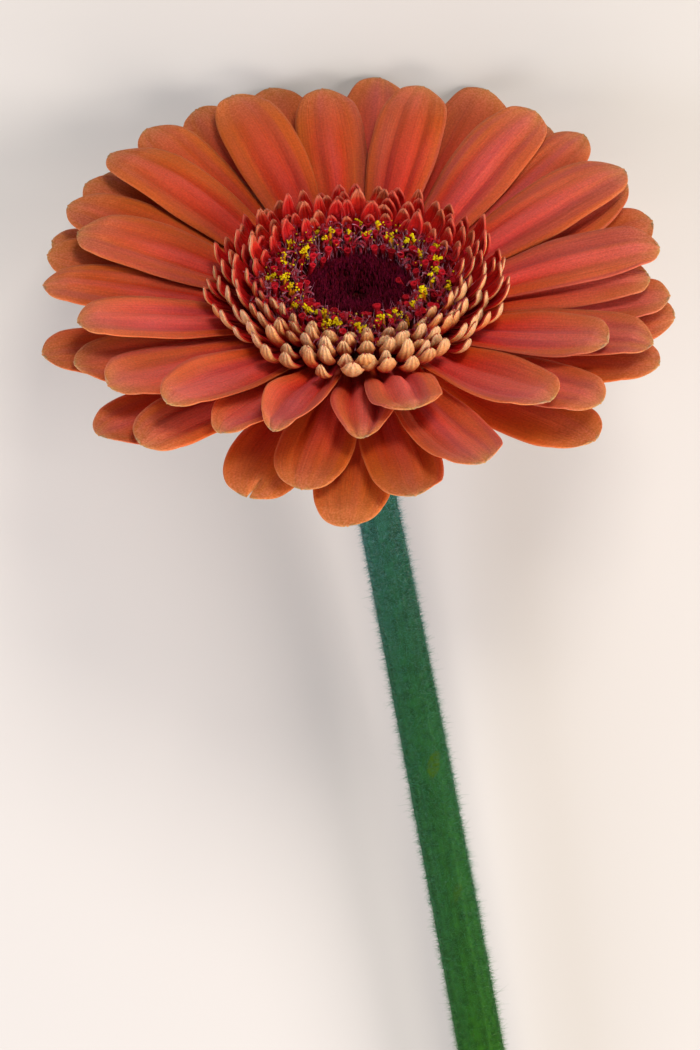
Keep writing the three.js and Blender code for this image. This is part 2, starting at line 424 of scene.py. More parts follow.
@dataclass(frozen=True)
class PetalSkin:
    """Ray epidermis: velvety, from tan-orange to coral pink, red at the root, with soft bands."""

    name: str
    orange: Stops = (
        (0.0, 0xD01000), (0.25, 0xC02A04), (0.5, 0xBA4210),
        (0.78, 0xB85820), (0.94, 0xB87030), (1.0, 0xBC904C),
    )
    coral: Stops = (
        (0.0, 0xDC1400), (0.16, 0xDE3420), (0.42, 0xE65C48),
        (0.74, 0xDC6C4A), (0.92, 0xC8803E), (1.0, 0xC49A54),
    )
    band: int = 0xA23A4C  # purple-pink bands along the folds
    middle: int = 0xE0625E  # pink along the middle rib
    flank: int = 0xC0641E  # olive-orange towards the edges
    tan: int = 0xCC7C28  # yellow-tan of the low front rays
    # pale fuzz towards the tip, partly painted velvet sheen
    tip_fuzz_and_sheen: int = 0xE0A898  # pale grain towards the tip
    rim: int = 0xC47A50
    surface: Surface = Surface(sheen=0.02, glow=0.4, glow_depth_mm=1.5)
    veins_across: float = 60.0
    papillae_per_mm: float = 2.9  # coarser than the real ones, so that the grain shows

    def material(self) -> bpy.types.Material:
        """Builds the material from the piece's UV map: x across, y along.

        Returns:
            The material.
        """
        material, tree, shader = self.surface.start(self.name)
        uv = add_node(tree, Kind.SHEET)
        across, along = add_node(tree, Kind.ACROSS, uv), add_node(tree, Kind.ALONG, uv)
        own, number = add_node(tree, Kind.TONE), add_node(tree, Kind.NUMBER)
        sheet = add_node(tree, Kind.GATHER, across, along, number)
        clouds = mottled(tree, sheet, (2.2, 1.4, 1.0))
        drift = add_node(tree, Kind.SPAN, clouds, 0.3, 0.7, -0.3, 0.3)
        hue = add_node(tree, Kind.ADD, own, drift)
        orange = add_node(tree, Kind.RAMP, along, stops=self.orange)
        coral = add_node(tree, Kind.RAMP, along, stops=self.coral)
        colour = add_node(tree, Kind.MIX, hue, orange, coral)
        lowness = add_node(tree, Kind.SPAN, own, 0.0, -1.0, 0.0, 0.6)
        outward = add_node(tree, Kind.SPAN, along, 0.25, 0.8, 0.2, 1.0)
        tanned = add_node(tree, Kind.MULTIPLY, lowness, outward)
        colour = add_node(tree, Kind.MIX, tanned, colour, linear(self.tan))
        edgeward = from_middle(tree, across)
        colour = self._striped(tree, colour, (across, along, number), (own, hue), edgeward)
        veins = mottled(tree, sheet, (self.veins_across, 1.6, 1.0), 3.0)
        vein_light = add_node(tree, Kind.RAMP, veins, stops=((0.3, 0xC0B8B8), (0.6, 0xFFFFFF)))
        colour = add_node(tree, Kind.SHADE, 0.35, colour, vein_light)
        grain = mottled(tree, add_node(tree, Kind.PLACE), per_mm(self.papillae_per_mm))
        grain_light = add_node(tree, Kind.RAMP, grain, stops=PALE_GRAIN)
        colour = add_node(tree, Kind.SHADE, 0.5, colour, grain_light)
        # pale fuzz on the grain towards the tip, partly painted sheen of the velvet
        fuzz_and_sheen = add_node(
            tree, Kind.MULTIPLY,
            add_node(tree, Kind.SPAN, along, 0.6, 1.0, 0.0, 0.24),
            add_node(tree, Kind.SPAN, grain, 0.4, 0.7, 0.2, 1.0),
        )
        colour = add_node(tree, Kind.MIX, fuzz_and_sheen, colour, linear(self.tip_fuzz_and_sheen))
        edge = add_node(tree, Kind.SPAN, edgeward, 0.95, 1.0, 0.0, 0.12)
        colour = add_node(tree, Kind.MIX, edge, colour, linear(self.rim))
        height = add_node(tree, Kind.ADD, veins, add_node(tree, Kind.MULTIPLY, grain, 0.4))
        self.surface.finish(tree, shader, colour, height)
        return material

    def _striped(
        self,
        tree: bpy.types.NodeTree,
        colour: bpy.types.NodeSocket,
        place: tuple[bpy.types.NodeSocket, bpy.types.NodeSocket, bpy.types.NodeSocket],
        pinkness: tuple[bpy.types.NodeSocket, bpy.types.NodeSocket],
        edgeward: bpy.types.NodeSocket,
    ) -> bpy.types.NodeSocket:
        """Lays olive flanks, a pink middle rib and purple bands along the petal.

        Args:
            tree: the material's node tree.
            colour: the colour so far.
            place: how far across and along, and the petal's number.
            pinkness: the petal's own, and with its drift.
            edgeward: distance from the middle line.

        Returns:
            The striped colour.
        """
        across, along, number = place
        own, hue = pinkness
        blade = add_node(
            tree, Kind.MULTIPLY,
            add_node(tree, Kind.SPAN, along, 1.0, 0.72, 0.25, 1.0),
            add_node(tree, Kind.SPAN, own, -1.0, 0.0, 0.45, 1.0),
        )
        sheet = add_node(tree, Kind.GATHER, across, along, number)
        clouds = mottled(tree, sheet, (1.5, 1.2, 1.0))
        wander = add_node(tree, Kind.SPAN, clouds, 0.3, 0.7, -0.3, 0.3)
        strayed = add_node(tree, Kind.ADD, edgeward, wander)
        flanks = add_node(tree, Kind.SPAN, strayed, 0.35, 0.75, 0.0, 0.5)
        ribs = add_node(
            tree, Kind.MULTIPLY,
            add_node(tree, Kind.SPAN, strayed, 0.4, 0.05, 0.0, 0.5),
            add_node(tree, Kind.SPAN, hue, 0.0, 0.8, 0.3, 1.0),
        )
        crosswise = add_node(tree, Kind.GATHER, along, across, number)
        streaks = mottled(tree, crosswise, (0.5, 4.6, 1.0), 1.0)
        bands = add_node(
            tree, Kind.MULTIPLY,
            add_node(tree, Kind.SPAN, streaks, 0.48, 0.64, 0.0, 0.42),
            add_node(tree, Kind.SPAN, hue, 0.0, 0.6, 0.5, 1.0),
        )
        for stripe, tint in ((flanks, self.flank), (ribs, self.middle), (bands, self.band)):
            share = add_node(tree, Kind.MULTIPLY, stripe, blade)
            colour = add_node(tree, Kind.MIX, share, colour, linear(tint))
        return colour


@dataclass(frozen=True)
class FloretSkin:
    """One face of a short floret: red at the foot, paler to a tan lip, with furrows along it whose
    darker colour is painted shade.
    """

    name: str
    stops: Stops
    # colour of the furrow troughs: painted shade
    groove_shade: int
    groove_shade_share: float
    lip: int
    lip_share: float = 0.7
    surface: Surface = Surface(bump_mm=0.07, glow=0.35)
    grooves_across: float = 3.5
    papillae_per_mm: float = 2.4  # coarser than the real ones, so that the grain shows

    def material(self) -> bpy.types.Material:
        """Builds the material from the piece's UV map: x across, y along.

        Returns:
            The material.
        """
        material, tree, shader = self.surface.start(self.name)
        uv = add_node(tree, Kind.SHEET)
        across, along = add_node(tree, Kind.ACROSS, uv), add_node(tree, Kind.ALONG, uv)
        off_mean = add_node(tree, Kind.SUBTRACT, add_node(tree, Kind.TONE), 0.5)
        shifted = add_node(tree, Kind.ADD, along, add_node(tree, Kind.MULTIPLY, off_mean, 0.3))
        colour = add_node(tree, Kind.RAMP, shifted, stops=self.stops)
        turns = add_node(tree, Kind.MULTIPLY, across, math.tau * self.grooves_across)
        wave = add_node(tree, Kind.SINE, turns)
        # painted shade: the furrow colour is laid where the wave puts the bump's troughs
        groove_shading = add_node(tree, Kind.SPAN, wave, 0.0, 1.0, 0.0, self.groove_shade_share)
        colour = add_node(tree, Kind.MIX, groove_shading, colour, linear(self.groove_shade))
        grain = mottled(tree, add_node(tree, Kind.PLACE), per_mm(self.papillae_per_mm))
        grain_light = add_node(tree, Kind.RAMP, grain, stops=PALE_GRAIN)
        colour = add_node(tree, Kind.SHADE, 0.6, colour, grain_light)
        edgeward = add_node(tree, Kind.LARGER, from_middle(tree, across), along)
        edge = add_node(tree, Kind.SPAN, edgeward, 0.88, 1.0, 0.0, self.lip_share)
        upper = add_node(tree, Kind.SPAN, along, 0.72, 0.98, 0.0, 1.0)
        lipward = add_node(tree, Kind.MULTIPLY, edge, upper)
        colour = add_node(tree, Kind.MIX, lipward, colour, linear(self.lip))
        self.surface.finish(tree, shader, colour, add_node(tree, Kind.SUBTRACT, grain, wave))
        return material


@dataclass(frozen=True)
class GrainedTissue:
    """Plain plant tissue in two colours that drift into each other, varied from part to part."""

    name: str
    dark: int
    light: int
    grain_mm: float = 0.8
    surface: Surface = Surface()

    def material(self) -> bpy.types.Material:
        """Builds the material from object coordinates and the tone of each part.

        Returns:
            The material.
        """
        material, tree, shader = self.surface.start(self.name)
        grain = mottled(tree, add_node(tree, Kind.PLACE), per_mm(1 / self.grain_mm), 3.0)
        mixed = add_node(
            tree, Kind.ADD,
            add_node(tree, Kind.MULTIPLY, grain, 0.6),
            add_node(tree, Kind.MULTIPLY, add_node(tree, Kind.TONE), 0.4),
        )
        colour = add_node(tree, Kind.RAMP, mixed, stops=((0.25, self.dark), (0.75, self.light)))
        self.surface.finish(tree, shader, colour, grain)
        return material


@dataclass(frozen=True)
class DiscFlesh:
    """The disc's flesh: dark red under the florets, green behind the rays like the bracts on it."""

    name: str
    surface: Surface
    green_below_mm: float = -9.0  # along the head's axis
    red_above_mm: float = -6.0
    mottle_per_mm: float = 0.7
    stops: Stops = ((0.0, 0x4A6C2A), (0.6, 0x5E6A30), (1.0, 0x5A1C14))

    def material(self) -> bpy.types.Material:
        """Builds the material from the height along the head's axis.

        Returns:
            The material.
        """
        material, tree, shader = self.surface.start(self.name)
        place = add_node(tree, Kind.PLACE)
        axis = HEAD.to_row(UP[None])[0] / MM - HEAD.origin()
        start = float(axis @ HEAD.origin())
        low, high = ((start + height) * MM for height in (self.green_below_mm, self.red_above_mm))
        along = add_node(tree, Kind.DOT, place, tuple(axis))
        share = add_node(tree, Kind.SPAN, along, low, high, 0.0, 1.0)
        grain = mottled(tree, place, per_mm(self.mottle_per_mm), 3.0)
        colour = add_node(tree, Kind.RAMP, share, stops=self.stops)
        grain_light = add_node(tree, Kind.RAMP, grain, stops=((0.3, 0x909890), (0.7, 0xFFFFFF)))
        colour = add_node(tree, Kind.SHADE, 0.5, colour, grain_light)
        self.surface.finish(tree, shader, colour, grain)
        return material


DULL = Surface(roughness=0.75, specular=0.06, sheen=0.0, glow=0.0)


@dataclass(frozen=True)
class StemSkin:
    """Downy stem skin: green, bluer towards the head with painted cool light, with fine ribs and
    bare scars.
    """

    name: str
    surface: Surface = Surface(specular=0.08, sheen=0.03, sheen_tint=0xA8D0E8, glow=0.05)
    scars: tuple[tuple[float, float, float, float], ...] = ()  # x, y, half length, strength
    scar_lean: float = -0.19  # radians, as the stem leans on the table
    scar: int = 0x2E4C02  # olive, where the down is rubbed off
    mottle_per_mm: float = 0.7
    # the blue-green at the head end is painted cool light
    stops: Stops = (  # from the cut end to the head
        (0.0, 0x245600), (0.35, 0x245802), (0.6, 0x24560C), (0.8, 0x205428), (1.0, 0x285E54),
    )

    def material(self) -> bpy.types.Material:
        """Builds the material from the stem's UV map: x round it, y along it from the cut end.

        Returns:
            The material.
        """
        material, tree, shader = self.surface.start(self.name)
        uv, place = add_node(tree, Kind.SHEET), add_node(tree, Kind.PLACE)
        colour = add_node(tree, Kind.RAMP, add_node(tree, Kind.ALONG, uv), stops=self.stops)
        ribs = mottled(tree, uv, (26.0, 5.0, 1.0))
        rib_light = add_node(tree, Kind.RAMP, ribs, stops=((0.3, 0xA8B8A8), (0.7, 0xFFFFFF)))
        colour = add_node(tree, Kind.SHADE, 0.7, colour, rib_light)
        mottle = mottled(tree, place, per_mm(self.mottle_per_mm), 4.0)
        spots = add_node(tree, Kind.RAMP, mottle, stops=((0.35, 0x9AA89A), (0.6, 0xFFFFFF)))
        colour = add_node(tree, Kind.SHADE, 0.6, colour, spots)
        for scar in self.scars:
            rubbed = self._rubbed(tree, place, mottle, scar)
            colour = add_node(tree, Kind.MIX, rubbed, colour, linear(self.scar))
        self.surface.finish(tree, shader, colour, add_node(tree, Kind.ADD, ribs, mottle))
        return material

    def _rubbed(
        self,
        tree: bpy.types.NodeTree,
        place: bpy.types.NodeSocket,
        mottle: bpy.types.NodeSocket,
        scar: tuple[float, float, float, float],
    ) -> bpy.types.NodeSocket:
        """How far the down is rubbed off in a ragged oval.

        Args:
            tree: the material's node tree.
            place: object coordinates.
            mottle: what makes the edge ragged.
            scar: x, y and half length in metres, and strength.

        Returns:
            0 outside the scar, its strength inside.
        """
        x, y, half_length, strength = scar
        centred = add_node(
            tree, Kind.CENTRE, Vector=place, Location=(x, y, 0.0),
            Rotation=(0.0, 0.0, self.scar_lean), Scale=(half_length * 0.45, half_length, 1.0),
        )
        level = add_node(tree, Kind.VECTOR_MULTIPLY, centred, (1.0, 1.0, 0.0))
        reach = add_node(tree, Kind.LENGTH, level)
        ragged = add_node(tree, Kind.ADD, reach, add_node(tree, Kind.MULTIPLY, mottle, 0.6))
        return add_node(tree, Kind.SPAN, ragged, 1.35, 1.1, 0.0, strength)


@dataclass(frozen=True)
class DownSkin:
    """The stem's hairs: green at the foot, pale blue-green towards the head, which is painted cool
    light.
    """

    name: str
    # the pale blue-green at the head end is painted cool light
    stops: Stops = (
        (0.0, 0x2A6402), (0.3, 0x286406), (0.55, 0x28641C), (0.8, 0x2E6A4C), (1.0, 0x508E94),
    )
    surface: Surface = Surface(
        roughness=0.7, specular=0.04, sheen=0.02, glow=0.1, sheen_tint=0xA0D0FF
    )

    def material(self) -> bpy.types.Material:
        """Builds the material from each hair's place along the stem.

        Returns:
            The material.
        """
        material, tree, shader = self.surface.start(self.name)
        colour = add_node(tree, Kind.RAMP, add_node(tree, Kind.TONE), stops=self.stops)
        tree.links.new(colour, shader.inputs["Base Color"])
        return material


@dataclass(frozen=True)
class CutFace:
    """The cut end of the stem: wet pale pith inside a ring of darker vessels and a green rind."""

    name: str
    centre: tuple[float, float, float]
    radius_mm: float
    rings: Stops = (
        (0.0, 0xC9CF8E), (0.55, 0xB4C07A), (0.68, 0x7C9548),
        (0.76, 0xA9B970), (0.9, 0x5F8436), (1.0, 0x3E6A2A),
    )
    surface: Surface = Surface(roughness=0.35, sheen=0.0, glow=0.2)
    cells_per_mm: float = 2.6  # coarser than the real pith, so that the cells show

    def material(self) -> bpy.types.Material:
        """Builds the material from the distance to the middle of the cut.

        Returns:
            The material.
        """
        material, tree, shader = self.surface.start(self.name)
        place = add_node(tree, Kind.PLACE)
        centred = add_node(tree, Kind.VECTOR_SUBTRACT, place, self.centre)
        reach = add_node(tree, Kind.LENGTH, centred)
        share = add_node(tree, Kind.DIVIDE, reach, self.radius_mm * MM)
        rings = add_node(tree, Kind.RAMP, share, stops=self.rings)
        cells = add_node(tree, Kind.CELLS, Vector=place, Scale=self.cells_per_mm / MM)
        cell_light = add_node(tree, Kind.RAMP, cells, stops=((0.0, 0x6A8040), (0.6, 0xFFFFFF)))
        colour = add_node(tree, Kind.SHADE, 0.25, rings, cell_light)
        self.surface.finish(tree, shader, colour, cells)
        return material


@dataclass(frozen=True)
class TableTop:
    """Matt pale card under the flower, even enough not to draw the eye."""

    name: str = "matt pale card"
    pale: int = 0xBCBAB6
    shade: int = 0xB6B3AE
    clouds_per_mm: float = 0.003

    def material(self) -> bpy.types.Material:
        """Builds the material with a faint drift of tone.

        Returns:
            The material.
        """
        material = bpy.data.materials.new(self.name)
        material.use_nodes = True
        tree = material.node_tree
        shader = tree.nodes["Principled BSDF"]
        shader.inputs["Roughness"].default_value = 0.85
        drift = mottled(tree, add_node(tree, Kind.PLACE), per_mm(self.clouds_per_mm), 3.0)
        colour = add_node(tree, Kind.RAMP, drift, stops=((0.3, self.shade), (0.7, self.pale)))
        tree.links.new(colour, shader.inputs["Base Color"])
        return material


# ---- Where the head and its parts are ----


@dataclass(frozen=True)
class HeadFrame:
    """The head's own axes in millimetres: +Z out of the face, the origin at the eye."""

    tilt: float = math.radians(50)
    eye_seat: float = -2.1  # height of the eye's foot in the head's frame

    def _spin(self) -> Array:
        """The rotation from the head's axes to the row's."""
        c, s = math.cos(self.tilt), math.sin(self.tilt)
        return np.array([[1, 0, 0], [0, c, s], [0, -s, c]])

    def origin(self) -> Array:
        """Finds the head's origin from the CAD eye and its seat.

        Returns:
            The origin, in row millimetres.
        """
        eye = (vertices_of(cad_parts["eye"]) / MM) @ self._spin()
        foot = eye[eye[:, 2] < eye[:, 2].min() + 0.01]
        rim = np.unique(foot.round(2), axis=0)
        around = rim[np.hypot(*(rim[:, :2] - rim[:, :2].mean(0)).T) > 1.0]
        middle = around[:, :2].mean(0)
        return self._spin() @ np.array([middle[0], middle[1], eye[:, 2].min() - self.eye_seat])

    def to_row(self, points: Array) -> Array:
        """Head millimetres to row metres."""
        return (points @ self._spin().T + self.origin()) * MM

    def to_head(self, points: Array) -> Array:
        """Row metres to head millimetres."""
        return (points / MM - self.origin()) @ self._spin()

    def node(self, name: str) -> Array:
        """The vertices of a CAD node in head millimetres."""
        return self.to_head(vertices_of(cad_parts[name]))


HEAD = HeadFrame()


# ---- Rays ----


class Whorl(Enum):
    """The four layers of rays, upper first."""

    A = "a"
    B = "b"
    C = "c"
    D = "d"


@dataclass
class RayHabit:
    """How the rays of one whorl bend away from the plain CAD ray, in millimetres."""

    scoop_front: float  # rise of the edges where the head faces up
    scoop_back: float
    tip_front: float  # rise of the tip
    tip_back: float
    crease: float = 0.6


HABITS = {
    Whorl.A: RayHabit(scoop_front=2.2, scoop_back=-0.9, tip_front=0.8, tip_back=-0.8),
    Whorl.B: RayHabit(scoop_front=0.7, scoop_back=-0.7, tip_front=0.0, tip_back=-0.4),
    Whorl.C: RayHabit(scoop_front=0.1, scoop_back=-0.5, tip_front=-1.2, tip_back=-0.2, crease=0.45),
    Whorl.D: RayHabit(scoop_front=-0.3, scoop_back=-0.3, tip_front=-1.8, tip_back=0.0, crease=0.35),
}


@dataclass(frozen=True)
class Temper:
    """What sets one ray apart from its whorl, in millimetres unless a comment says otherwise."""

    shorter: float = 0.0
    lift: float = 0.0
    scoop: float = 0.0
    fold: float = 1.0  # depth of the creases, as a share of the whorl's
    swing: float = 0.0  # degrees
    tear: float = 0.0
    crest: float = 0.0  # height of the arch over the middle of the ray
    point: float = 0.0  # how much the tip narrows, as a share
    slim: float = 0.0  # how much the whole ray narrows, as a share


TEMPERS = {
    "ray_a11": Temper(shorter=4.3, lift=1.5, scoop=-2.3, fold=2.6, swing=1.5, crest=2.2, slim=0.02),
    "ray_b09": Temper(
        shorter=3.0, lift=1.6, scoop=1.2, fold=2.4, swing=2.0, crest=1.4, point=0.35, slim=0.06
    ),
    "ray_a10": Temper(
        shorter=1.8, lift=0.6, scoop=1.3, fold=1.8, swing=-4.0, crest=0.8, point=0.35, slim=0.16
    ),
    "ray_b08": Temper(shorter=1.4, lift=0.9, scoop=0.9, fold=1.5, swing=-3.0, point=0.3),
    "ray_a09": Temper(scoop=0.8, fold=1.3, point=0.2),
    "ray_d08": Temper(tear=4.2),
}


@dataclass
class Ray:
    """One long flat petal, laid along its CAD node and given its real outline, folds and edge."""

    node: str
    rng: np.random.Generator
    columns: int = 18
    rows: int = 40
    thickness: float = 0.42
    widest_at: float = 0.6
    root_share: float = 0.6
    tip_share: float = 0.12
    edge_share: float = 0.3  # thickness at the edge, as a share
    fold_width: float = 0.15  # shares of the half width, as are the next two
    tooth_width: float = 0.12
    tear_width: float = 0.11
    tooth_depth: float = 0.3  # millimetres, as are the next three
    rounding: float = 0.6  # of the tip's corners
    ripple: float = 0.22  # of the edges
    striation: float = 0.08  # of the fine lines along the face

    def __post_init__(self) -> None:
        """Measures the CAD ray: its heading, root, reach, side bend and half width."""
        self.whorl = Whorl(self.node[4])
        points = HEAD.node(self.node)
        radius = np.hypot(points[:, 0], points[:, 1])
        root = points[radius < radius.min() + 0.4].mean(0)
        self.heading = math.atan2(root[1], root[0])
        self.root = float(np.hypot(root[0], root[1]))
        along, across = self._unturned(points)
        self.reach = float(along.max())
        self.bend = float(across[along > self.reach - 0.2].mean())
        share = np.clip((along - self.root) / (self.reach - self.root), 0, 1)
        self.half_width = float(np.abs(across - self.bend * share**3).max())
        polygons = [list(p.vertices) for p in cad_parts[self.node].data.polygons]
        self.tree = BVHTree.FromPolygons([Vector(p) for p in points], polygons)
        self._measure_heights()

    def _unturned(self, points: Array) -> tuple[Array, Array]:
        """Splits points into their distance along the heading and across it."""
        c, s = math.cos(self.heading), math.sin(self.heading)
        return points[:, 0] * c + points[:, 1] * s, points[:, 1] * c - points[:, 0] * s

    def _height(self, along: float, across: float) -> float | None:
        """Finds the height of the CAD ray's upper face at a place.

        Args:
            along: distance along the heading.
            across: distance across it.

        Returns:
            The height in head millimetres, or None beside the ray.
        """
        c, s = math.cos(self.heading), math.sin(self.heading)
        start = Vector((along * c - across * s, along * s + across * c, 90.0))
        hit = self.tree.ray_cast(start, Vector((0, 0, -1)))[0]
        return None if hit is None else hit.z

    def _measure_heights(self) -> None:
        """Reads the height of the middle line and the side slope at stations along the ray."""
        self.stations, self.middle, self.slope = [], [], []
        for share in np.linspace(0.02, 0.97, 13):
            along = self.root + (self.reach - self.root) * share
            centre = self.bend * share**3
            side = 0.5 * self.half_width * float(self.outline(np.array([share]))[0])
            heights = [self._height(along, centre + offset) for offset in (-side, 0.0, side)]
            if None in heights:
                continue
            self.stations.append(share)
            self.middle.append(heights[1] - 0.2)
            self.slope.append((heights[2] - heights[0]) / (2 * side))

    def outline(self, share: Array) -> Array:
        """Draws a slim root, a broad shoulder and a round tip.

        Args:
            share: 0 at the root to 1 at the tip.

        Returns:
            The half width, as a share of the widest.
        """
        swell = self.root_share + (1 - self.root_share) * smooth(share, 0, self.widest_at)
        fall = np.clip((share - self.widest_at) / (1 - self.widest_at), 0, 1)
        tip = self.tip_share + (1 - self.tip_share) * (1 - fall**3.2) ** 0.5
        return swell * tip

    def shape(self, side: Array, v: Array) -> Array:
        """Places the grid of the ray.

        Args:
            side: -1 to 1 across the ray.
            v: 0 to 1 along it.

        Returns:
            The vertices in head millimetres.
        """
        share = 1 - (1 - v) ** 1.6
        habit, temper = HABITS[self.whorl], TEMPERS.get(self.node, Temper())
        front = max(-math.sin(self.heading), 0.0)
        back = max(math.sin(self.heading), 0.0)
        half = self.half_width * self.width_tweak * self.outline(share)
        half = half * (1 - temper.point * smooth(share, 0.5, 1.0)) * (1 - temper.slim)
        across = -side * half
        along = self.root + (self.reach - temper.shorter - self.root) * share
        along -= self.rounding * side**2 * share**5
        teeth = bell(side, 0.3, self.tooth_width) + bell(side, -0.34, self.tooth_width)
        along -= self.tooth_depth * smooth(share, 0.95, 1.0) * teeth
        along -= temper.tear * smooth(share, 0.8, 1.0) * bell(side, -0.12, self.tear_width)
        held = np.clip(share, 0, 1)
        lobe = np.sin(math.pi * held ** (0.85 + 1.2 * temper.point))
        scoop = habit.scoop_front * front**0.8 + habit.scoop_back * back + temper.scoop
        cup = (scoop * self.scoop_tweak - 0.1) * np.abs(side) ** 2.2 * lobe
        right, left = self.fold
        folds = bell(side, right, self.fold_width) + bell(side, -left, self.fold_width)
        fade = np.sin(math.pi * held**0.7) ** 0.8
        relief = -habit.crease * temper.fold * self.fold_depth * folds * fade
        relief += self.striation * np.cos(side * 17 + 6 * self.phase) * lobe
        wave = np.sin(math.tau * (share * self.waves + self.phase))
        ripple = self.ripple * np.abs(side) ** 3 * wave * share
        rise = habit.tip_front * front + habit.tip_back * back + self.tip_tweak
        tip = rise * smooth(share, 0.6, 1.0) ** 1.5
        tip = tip + temper.lift * smooth(share, 0.1, 0.85) + temper.crest * bell(share, 0.45, 0.2)
        twist = self.twist * side * share
        middle = np.interp(share, self.stations, self.middle)
        slope = np.interp(share, self.stations, self.slope)
        height = middle + slope * across + cup + relief + ripple + tip + twist
        offset = across + self.bend * share**3 + self.sway * np.sin(math.pi * share)
        return swung(along, offset, height, self.heading + math.radians(temper.swing))

    def _hue(self) -> float:
        """Says how pink the ray is: most on the scooped front rays, and on the right, where the
        paler pink is painted light falling from that side.

        Returns:
            -1 for yellow-tan, 0 for orange, 1 for coral pink.
        """
        # painted light: the right-hand rays are made pinker and paler, as light falls on that side
        right = 0.5 + 0.5 * math.cos(self.heading + math.radians(15))
        front = max(-math.sin(self.heading), 0.0)
        upper = {Whorl.A: 1.0, Whorl.B: 0.75, Whorl.C: -0.8, Whorl.D: -1.2}[self.whorl]
        under = {Whorl.A: 0.0, Whorl.B: 0.0, Whorl.C: -0.3, Whorl.D: -0.45}[self.whorl]
        lower_left = max(math.cos(self.heading - math.radians(222)), 0.0) ** 6
        hue = under + 0.06 + 0.72 * right**1.6 * (1 - 0.6 * front) + 0.6 * front * upper
        hue += self.rng.normal(0, 0.12) + 0.9 * lower_left
        return float(np.clip(hue, -1, 1))

    def build(self, materials: list[bpy.types.Material]) -> bpy.types.Object:
        """Makes the petal.

        Args:
            materials: the skins of its face and its underside.

        Returns:
            The finished piece.
        """
        rng = self.rng
        self.fold = rng.uniform(0.32, 0.46, 2)
        self.fold_depth = rng.uniform(0.7, 1.3)
        self.width_tweak = 1.04 + 0.05 * rng.uniform(-1, 1) + 0.1 * (self.whorl is Whorl.D)
        self.scoop_tweak = 1 + 0.3 * rng.uniform(-1, 1)
        self.tip_tweak = 0.35 * rng.uniform(-1, 1)
        self.twist = 0.3 * rng.uniform(-1, 1)
        self.phase = rng.uniform(0, 1)
        self.waves = rng.uniform(1.2, 2.4)
        self.sway = 0.5 * rng.uniform(-1, 1)
        petal, side, v = flat_grid(f"petal_{self.node[4:]}", self.columns, self.rows)
        move_vertices(petal, HEAD.to_row(self.shape(side, v)))
        weigh_edges(petal, (1 - np.abs(side) ** 4) * (1 - v**8))
        tone(petal, self._hue())
        tone(petal, rng.uniform(0, 40), "number")
        thicken(petal, self.thickness, materials, self.edge_share)
        return finished(petal, "petal", self.node)


@dataclass
class Rays:
    """All the rays of the head."""

    # soft velvet with no shine, whose orange and pink run into each other along the petal
    face: PetalSkin = PetalSkin("ray epidermis, face")
    # the same skin seen from behind, duller and browner
    underside: PetalSkin = PetalSkin(
        "ray epidermis, underside",
        orange=((0.0, 0xA8401A), (0.4, 0xB85A2C), (0.8, 0xBB7440), (1.0, 0xB08A55)),
        coral=((0.0, 0xB84A30), (0.4, 0xCC6A50), (0.8, 0xD08468), (1.0, 0xC09068)),
    )

    def build(self) -> None:
        """Makes every petal from its CAD ray."""
        materials = [self.face.material(), self.underside.material()]
        rng = np.random.default_rng(SEED)
        for node in sorted(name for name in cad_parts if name.startswith("ray_")):
            Ray(node, rng).build(materials)


# ---- Florets ----


@dataclass
class FloretRow:
    """A row of florets that lean out and then stand up like the side of a bowl, in millimetres."""

    count: int
    reach: float  # how far out the lips are
    height: float  # of the lips above the eye's origin
    sag: float  # height of the bend between foot and lip
    foot_shift: float = 0.0
    width: float = 2.7
    loose: bool = False


CROWNS = {
    "crown_outer": [
        FloretRow(43, 25.2, 4.3, -1.5, width=2.9, loose=True),
        FloretRow(41, 23.3, 5.0, -0.7, width=2.8),
    ],
    "crown_middle": [FloretRow(40, 21.3, 5.3, 0.2, width=2.7)],
    "crown_inner": [
        FloretRow(36, 19.2, 5.3, 0.9, width=2.6),
        FloretRow(32, 17.3, 4.7, 1.2, foot_shift=-0.4, width=2.3),
    ],
}


